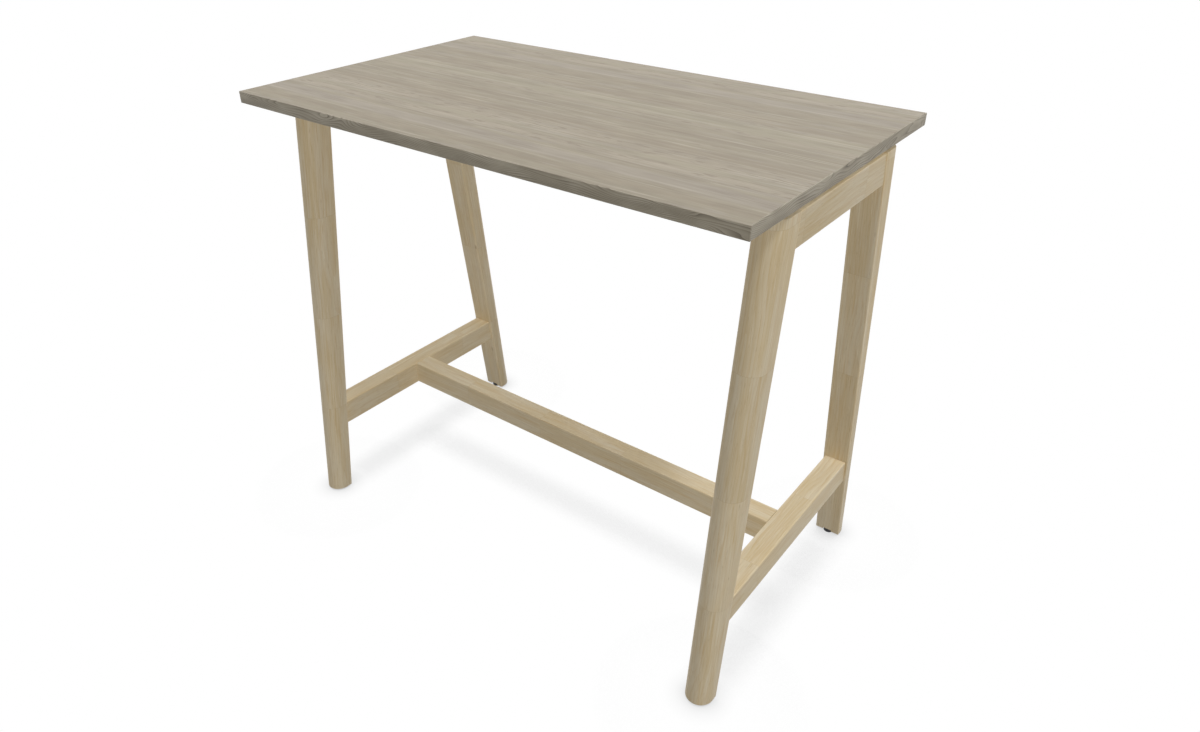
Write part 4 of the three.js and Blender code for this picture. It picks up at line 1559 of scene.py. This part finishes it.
class ThreadCutter:
    """Geometry Nodes tree that makes a threaded rod along Z."""

    sockets: tuple[tuple[str, str], ...] = (
        ("Radius", "NodeSocketFloat"),
        ("Pitch", "NodeSocketFloat"),
        ("Depth", "NodeSocketFloat"),
        ("Length", "NodeSocketFloat"),
        ("Facets", "NodeSocketInt"),
        ("Rows", "NodeSocketInt"),
        ("Material", "NodeSocketMaterial"),
    )
    root_flat = 0.25
    crest_flat = 0.125

    def __init__(self) -> None:
        """Builds the tree."""
        self.tree = bpy.data.node_groups.new("screw_thread", "GeometryNodeTree")
        self.keys: dict[str, str] = {}
        for name, kind in self.sockets:
            item = self.tree.interface.new_socket(name, in_out="INPUT", socket_type=kind)
            self.keys[name] = item.identifier
        self.tree.interface.new_socket("Geometry", in_out="OUTPUT", socket_type="NodeSocketGeometry")
        self.given = self.add("NodeGroupInput").node.outputs
        blank = self.add(
            "GeometryNodeMeshCylinder",
            {
                "Vertices": self.given["Facets"],
                "Side Segments": self.given["Rows"],
                "Radius": self.given["Radius"],
                "Depth": self.given["Length"],
            },
            fill_type="NGON",
        )
        cut = self.add("GeometryNodeSetPosition", {"Geometry": blank, "Position": self.position()})
        # A twisted four-sided face would fold where a boolean cuts it
        flat = self.add("GeometryNodeTriangulate", {"Mesh": cut})
        real = self.add("GeometryNodeRealizeInstances", {"Geometry": flat})
        dressed = self.add("GeometryNodeSetMaterial", {"Geometry": real, "Material": self.given["Material"]})
        self.add("NodeGroupOutput", {"Geometry": dressed})

    def add(self, kind: str, inputs: dict | None = None, out: str | int = 0, **settings: Any) -> Any:
        """Adds a node to the tree; see add_node."""
        return add_node(self.tree, kind, inputs, out, **settings)

    def position(self) -> bpy.types.NodeSocket:
        """Makes the place of each point of the blank once the thread is cut.

        Returns:
            Positions on a rod that stands on the origin.
        """
        given = self.given
        at = self.add("GeometryNodeInputPosition")
        parts = self.add("ShaderNodeSeparateXYZ", {0: at}).node.outputs
        half = self.add("ShaderNodeMath", {0: given["Length"], 1: 0.5}, operation="MULTIPLY")
        height = self.add("ShaderNodeMath", {0: parts["Z"], 1: half}, operation="ADD")
        angle = self.add("ShaderNodeMath", {0: parts["Y"], 1: parts["X"]}, operation="ARCTAN2")
        turns = self.add("ShaderNodeMath", {0: height, 1: given["Pitch"]}, operation="DIVIDE")
        lead = self.add("ShaderNodeMath", {0: angle, 1: -0.5 / math.pi, 2: turns}, operation="MULTIPLY_ADD")
        wave = self.add("ShaderNodeMath", {0: lead, 1: 0.5}, operation="PINGPONG")
        ridge = self.add(
            "ShaderNodeMapRange", {"Value": wave, 1: self.root_flat / 2, 2: (1 - self.crest_flat) / 2}
        )
        above = self.add("ShaderNodeMath", {0: given["Length"], 1: height}, operation="SUBTRACT")
        to_end = self.add("ShaderNodeMath", {0: height, 1: above}, operation="MINIMUM")
        fade = self.add("ShaderNodeMapRange", {"Value": to_end, 1: 0.0, 2: given["Pitch"]})
        raised = self.add("ShaderNodeMath", {0: ridge, 1: fade}, operation="MULTIPLY")
        lack = self.add("ShaderNodeMath", {0: 1.0, 1: raised}, operation="SUBTRACT")
        share = self.add("ShaderNodeMath", {0: given["Depth"], 1: given["Radius"]}, operation="DIVIDE")
        loss = self.add("ShaderNodeMath", {0: lack, 1: share}, operation="MULTIPLY")
        kept = self.add("ShaderNodeMath", {0: 1.0, 1: loss}, operation="SUBTRACT")
        scale = self.add("ShaderNodeCombineXYZ", {0: kept, 1: kept, 2: 1.0})
        lift = self.add("ShaderNodeCombineXYZ", {2: half})
        return self.add("ShaderNodeVectorMath", {0: at, 1: scale, 2: lift}, operation="MULTIPLY_ADD")

    def rod(self, thread: Thread, low: float, high: float, finish: Finish) -> bpy.types.Mesh:
        """Makes a threaded rod.

        Args:
            thread: Its thread.
            low: Height of its lower end.
            high: Height of its upper end.
            finish: Its finish.

        Returns:
            The rod's mesh, with its axis on Z.
        """
        length = high - low
        values = {
            "Radius": thread.radius,
            "Pitch": thread.pitch,
            "Depth": thread.depth,
            "Length": length,
            "Facets": thread.facets,
            "Rows": math.ceil(length / thread.pitch * thread.rows_per_pitch),
            "Material": finish.material,
        }
        holder = bpy.data.objects.new("rod", bpy.data.meshes.new("rod"))
        bpy.context.scene.collection.objects.link(holder)
        modifier = holder.modifiers.new("thread", "NODES")
        modifier.node_group = self.tree
        for name, value in values.items():
            modifier[self.keys[name]] = value
        graph = bpy.context.evaluated_depsgraph_get()
        mesh = bpy.data.meshes.new_from_object(holder.evaluated_get(graph))
        spent = holder.data
        bpy.data.objects.remove(holder)
        bpy.data.meshes.remove(spent)
        mesh.transform(Matrix.Translation((0.0, 0.0, low)))
        return mesh


def rounded_profile(points: Sequence[tuple[float, float, float]], steps: int = 4) -> list[Point2]:
    """Rounds the corners of a profile.

    Args:
        points: Radius and height of each corner, and how far back from it the rounding starts.
        steps: Number of steps in a rounding.

    Returns:
        The profile's points.
    """
    profile: list[Point2] = []
    for i, (radius, height, back) in enumerate(points):
        corner = Vector((radius, height))
        if back == 0:
            profile.append((radius, height))
            continue
        before = Vector(points[i - 1][:2]) - corner
        after = Vector(points[(i + 1) % len(points)][:2]) - corner
        start, end = corner + before.normalized() * back, corner + after.normalized() * back
        for k in range(steps + 1):
            t = k / steps
            # A quadratic curve through the corner's two neighbours
            point = start * (1 - t) ** 2 + corner * (2 * t * (1 - t)) + end * t**2
            profile.append((point.x, point.y))
    return profile


@dataclass
class LevellingFoot:
    """A foot: a moulded pad that is snapped over the collar of a threaded stem, and the stem's sleeve in the leg."""

    axis_x: float = 567 * MM
    axis_y: float = 309.3 * MM
    pad_radius: float = 12 * MM
    pad_height: float = 8.8 * MM
    pad_neck: float = 10.6 * MM
    pad_edge: float = 1.2 * MM
    pad_floor: float = 2.2 * MM
    mouth_radius: float = 4.5 * MM
    sole_groove: float = 0.5 * MM
    collar_radius: float = 6 * MM
    collar_height: float = 3 * MM
    stem_tip: float = 46 * MM
    sleeve_radius: float = 6 * MM
    sleeve_bore: float = 4.3 * MM
    sleeve_low: float = 9.6 * MM
    sleeve_high: float = 35.6 * MM
    sides: int = 64
    thread: Thread = Thread.metric(4 * MM, 1.25 * MM)

    def pad(self) -> bpy.types.Mesh:
        """Builds the pad, with a groove that sets its sole off."""
        socket = self.collar_radius + FIT_GAP
        socket_top = self.pad_floor + self.collar_height + 2 * FIT_GAP
        sole, groove = 2.4 * MM, self.sole_groove
        fine = 0.3 * MM
        profile = rounded_profile(
            [
                (0.0, 0.0, 0.0),
                (self.pad_radius, 0.0, self.pad_edge),
                (self.pad_radius, sole, fine),
                (self.pad_radius - groove, sole + groove, 0.0),
                (self.pad_radius, sole + 2 * groove, fine),
                (self.pad_radius, 0.6 * self.pad_height, self.pad_edge),
                (self.pad_neck, self.pad_height, self.pad_edge),
                (self.mouth_radius, self.pad_height, fine),
                (self.mouth_radius, socket_top, 0.0),
                (socket, socket_top, 0.0),
                (socket, self.pad_floor, fine),
                (0.0, self.pad_floor, 0.0),
            ]
        )
        return to_mesh(lathe(profile, self.sides), "pad")

    def stem(self, cutter: ThreadCutter, finish: Finish) -> bpy.types.Mesh:
        """Builds the stem: its collar, and the thread above."""
        low = self.pad_floor + FIT_GAP
        high = low + self.collar_height
        fine = 0.4 * MM
        collar = rounded_profile(
            [
                (0.0, low, 0.0),
                (self.collar_radius, low, fine),
                (self.collar_radius, high, fine),
                (0.0, high, 0.0),
            ]
        )
        rod = cutter.rod(self.thread, high - self.thread.pitch, self.stem_tip, finish)
        return combine(rod, [lathe(collar, self.sides)], "UNION")

    def sleeve(self) -> bpy.types.Mesh:
        """Builds the sleeve, bevelled at both ends."""
        low, high, fine = self.sleeve_low, self.sleeve_high, 0.4 * MM
        corners = [
            (self.sleeve_bore, low, fine),
            (self.sleeve_radius, low, fine),
            (self.sleeve_radius, high, fine),
            (self.sleeve_bore, high, fine),
        ]
        profile = rounded_profile(corners, 1)
        return to_mesh(lathe([*profile, profile[0]], self.sides), "sleeve")

    def build(self, palette: Palette, cutter: ThreadCutter) -> None:
        """Builds and dresses the four feet.

        Args:
            palette: The table's finishes.
            cutter: Maker of threads.
        """
        pad, stem, sleeve = self.pad(), self.stem(cutter, palette.steel), self.sleeve()
        for mesh in (pad, stem, sleeve):
            smooth(mesh)
        for row, end in CORNERS:
            at = Matrix.Translation((end.value * self.axis_x, row.value * self.axis_y, 0.0))
            where = f"{row.label}_{end.label}"
            for kind, mesh, finish, slot, body in (
                ("moulded_foot_pad", pad, palette.plastic, Slot.PLASTIC, f"pad_{where}"),
                ("threaded_foot_stem", stem, palette.steel, Slot.STEEL, f"stem_{where}"),
                ("turned_foot_sleeve", sleeve, palette.brass, Slot.BRASS, TABLE_BODY),
            ):
                copy = mesh.copy()
                copy.transform(at)
                node = f"{kind.split('_', 1)[1]}_{where}"
                show(f"{kind}_{where}", copy, finish, slot, body, node)


@dataclass
class WorktopFixing:
    """A bolt from the top rail into the board, and the spacer that it goes through."""

    axis_x: float = 567 * MM
    axis_y: float = 110 * MM
    spacer_low: float = 1015.3 * MM
    spacer_high: float = 1025.7 * MM
    spacer_radius: float = 16 * MM
    spacer_bore: float = 3.3 * MM
    head_low: float = 967.2 * MM
    head_radius: float = 5 * MM
    head_height: float = 5 * MM
    flange_radius: float = 7 * MM
    flange_thickness: float = 1.5 * MM
    socket_flats: float = 5 * MM
    socket_depth: float = 3 * MM
    tip: float = 1039 * MM
    threaded: float = 34 * MM
    sides: int = 48
    thread: Thread = Thread.metric(3 * MM, 1 * MM)

    def bolt(self, cutter: ThreadCutter, finish: Finish) -> bpy.types.Mesh:
        """Builds the bolt: a flanged head with a hexagon socket, a plain shank and a thread."""
        low, fine = self.head_low, 0.4 * MM
        flange = low + self.head_height
        seat = flange + self.flange_thickness
        neck = self.tip - self.threaded
        profile = rounded_profile(
            [
                (0.0, low, 0.0),
                (self.head_radius, low, fine),
                (self.head_radius, flange, fine),
                (self.flange_radius, flange, fine),
                (self.flange_radius, seat, fine),
                (self.thread.radius, seat, 0.0),
                (self.thread.radius, neck + self.thread.pitch, 0.0),
                (0.0, neck + self.thread.pitch, 0.0),
            ]
        )
        rod = cutter.rod(self.thread, neck, self.tip, finish)
        whole = combine(rod, [lathe(profile, self.sides)], "UNION")
        corner = self.socket_flats / math.sqrt(3)
        socket = prism(circle(corner, 6), low - fine, low + self.socket_depth, Matrix.Identity(4))
        return combine(whole, [socket])

    def spacer(self) -> bpy.types.Mesh:
        """Builds the spacer."""
        low, high, edge, fine = self.spacer_low, self.spacer_high, 0.8 * MM, 0.3 * MM
        profile = rounded_profile(
            [
                (self.spacer_bore, low, fine),
                (self.spacer_radius, low, edge),
                (self.spacer_radius, high, edge),
                (self.spacer_bore, high, fine),
            ]
        )
        return to_mesh(lathe([*profile, profile[0]], self.sides), "spacer")

    def build(self, palette: Palette, cutter: ThreadCutter) -> None:
        """Builds and dresses the bolts and the spacers.

        Args:
            palette: The table's finishes.
            cutter: Maker of threads.
        """
        bolt, spacer = self.bolt(cutter, palette.steel), self.spacer()
        for mesh in (bolt, spacer):
            smooth(mesh)
        for row, end in CORNERS:
            at = Matrix.Translation((end.value * self.axis_x, row.value * self.axis_y, 0.0))
            where = f"{row.label}_{end.label}"
            for kind, mesh, finish, slot in (
                ("threaded_worktop_bolt", bolt, palette.steel, Slot.STEEL),
                ("moulded_worktop_spacer", spacer, palette.plastic, Slot.PLASTIC),
            ):
                copy = mesh.copy()
                copy.transform(at)
                node = f"{kind.split('_', 1)[1]}_{where}"
                show(f"{kind}_{where}", copy, finish, slot, TABLE_BODY, node)


@dataclass
class StretcherFixing:
    """A hanger stud, a half-moon washer and a nut, which pull an end of the stretcher up to its rail."""

    stud_z: float = 211.5 * MM
    stud_start: float = 496 * MM
    stud_length: float = 82 * MM
    plain: float = 6 * MM
    screwed: float = 44 * MM
    pocket_x: float = 499.7 * MM
    washer_radius: float = 13.7 * MM
    washer_flat: float = 6 * MM
    washer_height: float = 20 * MM
    bore: float = 4.3 * MM
    nut_flats: float = 13 * MM
    nut_thickness: float = 6.5 * MM
    sides: int = 48
    thread: Thread = Thread.metric(4 * MM, 1.25 * MM)
    wood_thread: Thread = Thread(4 * MM, 3.2 * MM, 1.1 * MM)

    def stud(self, cutter: ThreadCutter, finish: Finish) -> bpy.types.Mesh:
        """Builds the stud: a machine thread for the nut, a plain neck, and a wood thread for the rail."""
        over = 1 * MM
        neck = self.screwed + self.plain
        machine = cutter.rod(self.thread, 0.0, self.screwed + over, finish)
        wood = cutter.rod(self.wood_thread, neck - over, self.stud_length, finish)
        middle = prism(circle(self.thread.radius, self.sides), self.screwed, neck, Matrix.Identity(4))
        screw = bmesh.new()
        screw.from_mesh(wood)
        bpy.data.meshes.remove(wood)
        return combine(machine, [middle, screw], "UNION")

    def washer(self) -> bpy.types.Mesh:
        """Builds the washer, round towards the rail and flat towards the nut."""
        half = math.acos(self.washer_flat / self.washer_radius)
        outline = arc((0.0, 0.0), self.washer_radius, -half, half, self.sides)
        solid = prism(outline, -self.washer_height / 2, self.washer_height / 2, Matrix.Identity(4))
        sharp = [e for e in solid.edges if e.calc_face_angle(0.0) > math.radians(30)]
        bmesh.ops.bevel(solid, geom=sharp, offset=0.5 * MM, segments=2, affect="EDGES", profile=0.5)
        hole = prism(circle(self.bore, self.sides), 0.0, 2 * self.washer_radius, Matrix.Rotation(QUARTER, 4, "Y"))
        return combine(to_mesh(solid, "washer"), [hole])

    def nut(self) -> bpy.types.Mesh:
        """Builds the nut along Z, with its corners turned off at both faces."""
        half, flats = self.nut_thickness / 2, self.nut_flats / 2
        corner = 2 * flats / math.sqrt(3)
        drop = (corner + FIT_GAP - 0.97 * flats) * math.tan(math.radians(30))
        cone = [
            (0.0, -half),
            (0.97 * flats, -half),
            (corner + FIT_GAP, drop - half),
            (corner + FIT_GAP, half - drop),
            (0.97 * flats, half),
            (0.0, half),
        ]
        blank = prism(circle(corner, 6), -half, half, Matrix.Identity(4))
        turned = combine(to_mesh(blank, "nut"), [lathe(cone, self.sides)], "INTERSECT")
        sink = 0.6 * MM
        bore = [
            (0.0, -2 * half),
            (self.bore + sink + half, -2 * half),
            (self.bore, sink - half),
            (self.bore, half - sink),
            (self.bore + sink + half, 2 * half),
            (0.0, 2 * half),
        ]
        return combine(turned, [lathe(bore, self.sides)])

    def build(self, palette: Palette, cutter: ThreadCutter) -> None:
        """Builds and dresses the fixings of both ends.

        Args:
            palette: The table's finishes.
            cutter: Maker of threads.
        """
        along_x = Matrix.Rotation(QUARTER, 4, "Y")
        nut_x = self.pocket_x + self.washer_flat - FIT_GAP - self.nut_thickness / 2
        pieces = (
            ("threaded_stretcher_stud", self.stud(cutter, palette.steel), along_x, self.stud_start),
            ("sintered_stretcher_washer", self.washer(), Matrix.Identity(4), self.pocket_x),
            ("hexagon_stretcher_nut", self.nut(), along_x, nut_x),
        )
        for kind, mesh, turn, x in pieces:
            smooth(mesh)
            mesh.transform(Matrix.Translation((x, 0.0, self.stud_z)) @ turn)
            for end in End:
                copy = mesh.copy()
                copy.transform(Matrix.Rotation(0.0 if end is End.RIGHT else math.pi, 4, "Z"))
                node = f"{kind.split('_', 1)[1]}_{end.label}"
                show(f"{kind}_{end.label}", copy, palette.steel, Slot.STEEL, TABLE_BODY, node)


def dress_kept_nodes(palette: Palette) -> None:
    """Gives the CAD nodes that are kept, which are hidden in their bores, their finishes.

    Args:
        palette: The table's finishes.
    """
    finishes = {Slot.JOINT: palette.beech, Slot.BRASS: palette.brass}
    for part in frame["record"]["subparts"]:
        node = frame["nodes"][part["node"]]
        slot = Slot(part["material_slot"])
        if node.hide_render or slot not in finishes:
            continue
        node.data.materials.clear()
        node.data.materials.append(finishes[slot].material)
        LOG.info("%s: kept, in %s", part["node"], finishes[slot].name)


# Studio


@dataclass(frozen=True)
class Lamp:
    """A far softbox. One that is a fill lights the table without a highlight or a shadow of its own."""

    name: str
    direction: tuple[float, float, float]
    strength: float
    spread: float
    fill: bool = True


@dataclass
class Studio:
    """Floor, light and camera."""

    floor_size: float = 60.0
    floor_albedo: str = "#8a8988"
    foot_reach: float = 50 * MM
    foot_share: float = 0.52
    foot_rays: int = 8
    under_low: float = 189 * MM
    under_high: float = 196 * MM
    under_share: float = 3.4
    under_rays: int = 20
    shade_start: float = 0.02
    sky: float = 0.03
    lamps: tuple[Lamp, ...] = (
        Lamp("softbox_key", (0.388, -0.05, 0.92), 0.276, math.radians(11), fill=False),
        Lamp("softbox_front_right", (0.6, -0.6, 0.5), 0.44, math.radians(60)),
        Lamp("softbox_front_left", (-0.5, -0.75, 0.4), 0.035, math.radians(60)),
        Lamp("softbox_right", (0.9, -0.1, 0.4), 0.06, math.radians(60)),
        Lamp("softbox_back", (0.0, 0.85, 0.5), 0.56, math.radians(60)),
        Lamp("softbox_left", (-0.9, 0.0, 0.4), 0.28, math.radians(60)),
        Lamp("softbox_below", (0.0, 0.0, -1.0), 0.22, math.radians(60)),
    )
    photo_width: float = 1200.0
    focal_pixels: float = 884.08
    camera_at: tuple[float, float, float] = (1.1188, -1.38987, 1.52712)
    yaw: float = math.radians(36.886)
    pitch: float = math.radians(31.637)
    sensor: float = 36.0

    def build(self) -> None:
        """Sets up the whole studio."""
        self.lay_floor()
        self.light_sky()
        for lamp in self.lamps:
            self.hang(lamp)
        self.set_camera()
        bpy.context.scene.view_settings.view_transform = "Standard"

    def lay_floor(self) -> None:
        """Lays a pale floor that the camera sees as white, apart from the shade round what stands close to it."""
        half = self.floor_size / 2
        mesh = bpy.data.meshes.new("floor")
        mesh.from_pydata([(-half, -half, 0), (half, -half, 0), (half, half, 0), (-half, half, 0)], [], [(0, 1, 2, 3)])
        material = bpy.data.materials.new("floor_white_paper")
        material.use_nodes = True
        material.cycles.emission_sampling = "NONE"
        tree = material.node_tree
        tree.nodes.clear()
        seen = add_node(tree, "ShaderNodeEmission", {"Color": self.shade(tree)})
        paper = add_node(tree, "ShaderNodeBsdfDiffuse", {"Color": linear(self.floor_albedo)})
        surface = add_node(tree, "ShaderNodeMixShader", {0: self.looked_at(tree), 1: paper, 2: seen})
        add_node(tree, "ShaderNodeOutputMaterial", {"Surface": surface})
        mesh.materials.append(material)
        floor = bpy.data.objects.new("floor", mesh)
        bpy.context.scene.collection.objects.link(floor)

    def shade(self, tree: bpy.types.NodeTree) -> bpy.types.NodeSocket:
        """Adds the shade on the floor: close round each foot, and straight under the low rails.

        Args:
            tree: The floor's node tree.

        Returns:
            A factor of 1 or less.
        """

        def open_within(reach: float, rays: int) -> bpy.types.NodeSocket:
            """Adds the share of sky that nothing within a reach covers."""
            return add_node(tree, "ShaderNodeAmbientOcclusion", {"Distance": reach}, "AO", samples=rays)

        # What covers the sky from just above one height, but from nothing nearer, hangs straight overhead.
        near = open_within(self.foot_reach, self.foot_rays)
        low, high = (open_within(reach, self.under_rays) for reach in (self.under_low, self.under_high))
        kept = 1 - self.foot_share + self.shade_start
        by_foot = add_node(tree, "ShaderNodeMath", {0: near, 1: self.foot_share, 2: kept}, operation="MULTIPLY_ADD")
        hung = add_node(tree, "ShaderNodeMath", {0: low, 1: high}, operation="SUBTRACT")
        lost = add_node(tree, "ShaderNodeMath", {0: hung, 1: self.under_share}, operation="MULTIPLY")
        return add_node(tree, "ShaderNodeMath", {0: by_foot, 1: lost}, operation="SUBTRACT", use_clamp=True)

    def looked_at(self, tree: bpy.types.NodeTree) -> bpy.types.NodeSocket:
        """Adds the test for rays of the camera, of reflections and through glass."""
        path = add_node(tree, "ShaderNodeLightPath", out="Is Camera Ray").node.outputs
        either = add_node(
            tree, "ShaderNodeMath", {0: path["Is Camera Ray"], 1: path["Is Glossy Ray"]}, operation="MAXIMUM"
        )
        return add_node(tree, "ShaderNodeMath", {0: either, 1: path["Is Transmission Ray"]}, operation="MAXIMUM")

    def light_sky(self) -> None:
        """Lights the scene evenly from all round, and shows white behind it."""
        world = bpy.data.worlds.new("studio")
        world.use_nodes = True
        tree = world.node_tree
        tree.nodes.clear()
        fill = add_node(tree, "ShaderNodeBackground", {"Strength": self.sky})
        white = add_node(tree, "ShaderNodeBackground", {"Strength": 1.0})
        for socket in (fill, white):
            socket.node.inputs["Color"].default_value = (1.0, 1.0, 1.0, 1.0)
        mixed = add_node(tree, "ShaderNodeMixShader", {0: self.looked_at(tree), 1: fill, 2: white})
        add_node(tree, "ShaderNodeOutputWorld", {"Surface": mixed})
        bpy.context.scene.world = world

    def hang(self, lamp: Lamp) -> None:
        """Hangs a lamp.

        Args:
            lamp: What to hang.
        """
        light = bpy.data.lights.new(lamp.name, "SUN")
        light.energy = lamp.strength * math.pi
        light.angle = lamp.spread
        hung = bpy.data.objects.new(lamp.name, light)
        light.use_shadow = not lamp.fill
        hung.visible_glossy = not lamp.fill
        hung.rotation_euler = Vector(lamp.direction).to_track_quat("Z", "Y").to_euler()
        bpy.context.scene.collection.objects.link(hung)

    def set_camera(self) -> None:
        """Puts the camera where the photograph was taken from."""
        lens = bpy.data.cameras.new("camera")
        lens.sensor_fit = "HORIZONTAL"
        lens.sensor_width = self.sensor
        lens.lens = self.sensor * self.focal_pixels / self.photo_width
        camera = bpy.data.objects.new("camera", lens)
        camera.location = self.camera_at
        camera.rotation_euler = (QUARTER - self.pitch, 0.0, self.yaw)
        bpy.context.scene.collection.objects.link(camera)
        bpy.context.scene.camera = camera


def main() -> None:
    """Builds the table and its studio."""
    logging.basicConfig(level=logging.INFO, format="%(name)s: %(message)s")
    palette = Palette.mixed()
    TableFrame().build(palette)
    Worktop().build(palette)
    cutter = ThreadCutter()
    LevellingFoot().build(palette, cutter)
    WorktopFixing().build(palette, cutter)
    StretcherFixing().build(palette, cutter)
    dress_kept_nodes(palette)
    Studio().build()


if __name__ == "__main__":
    main()
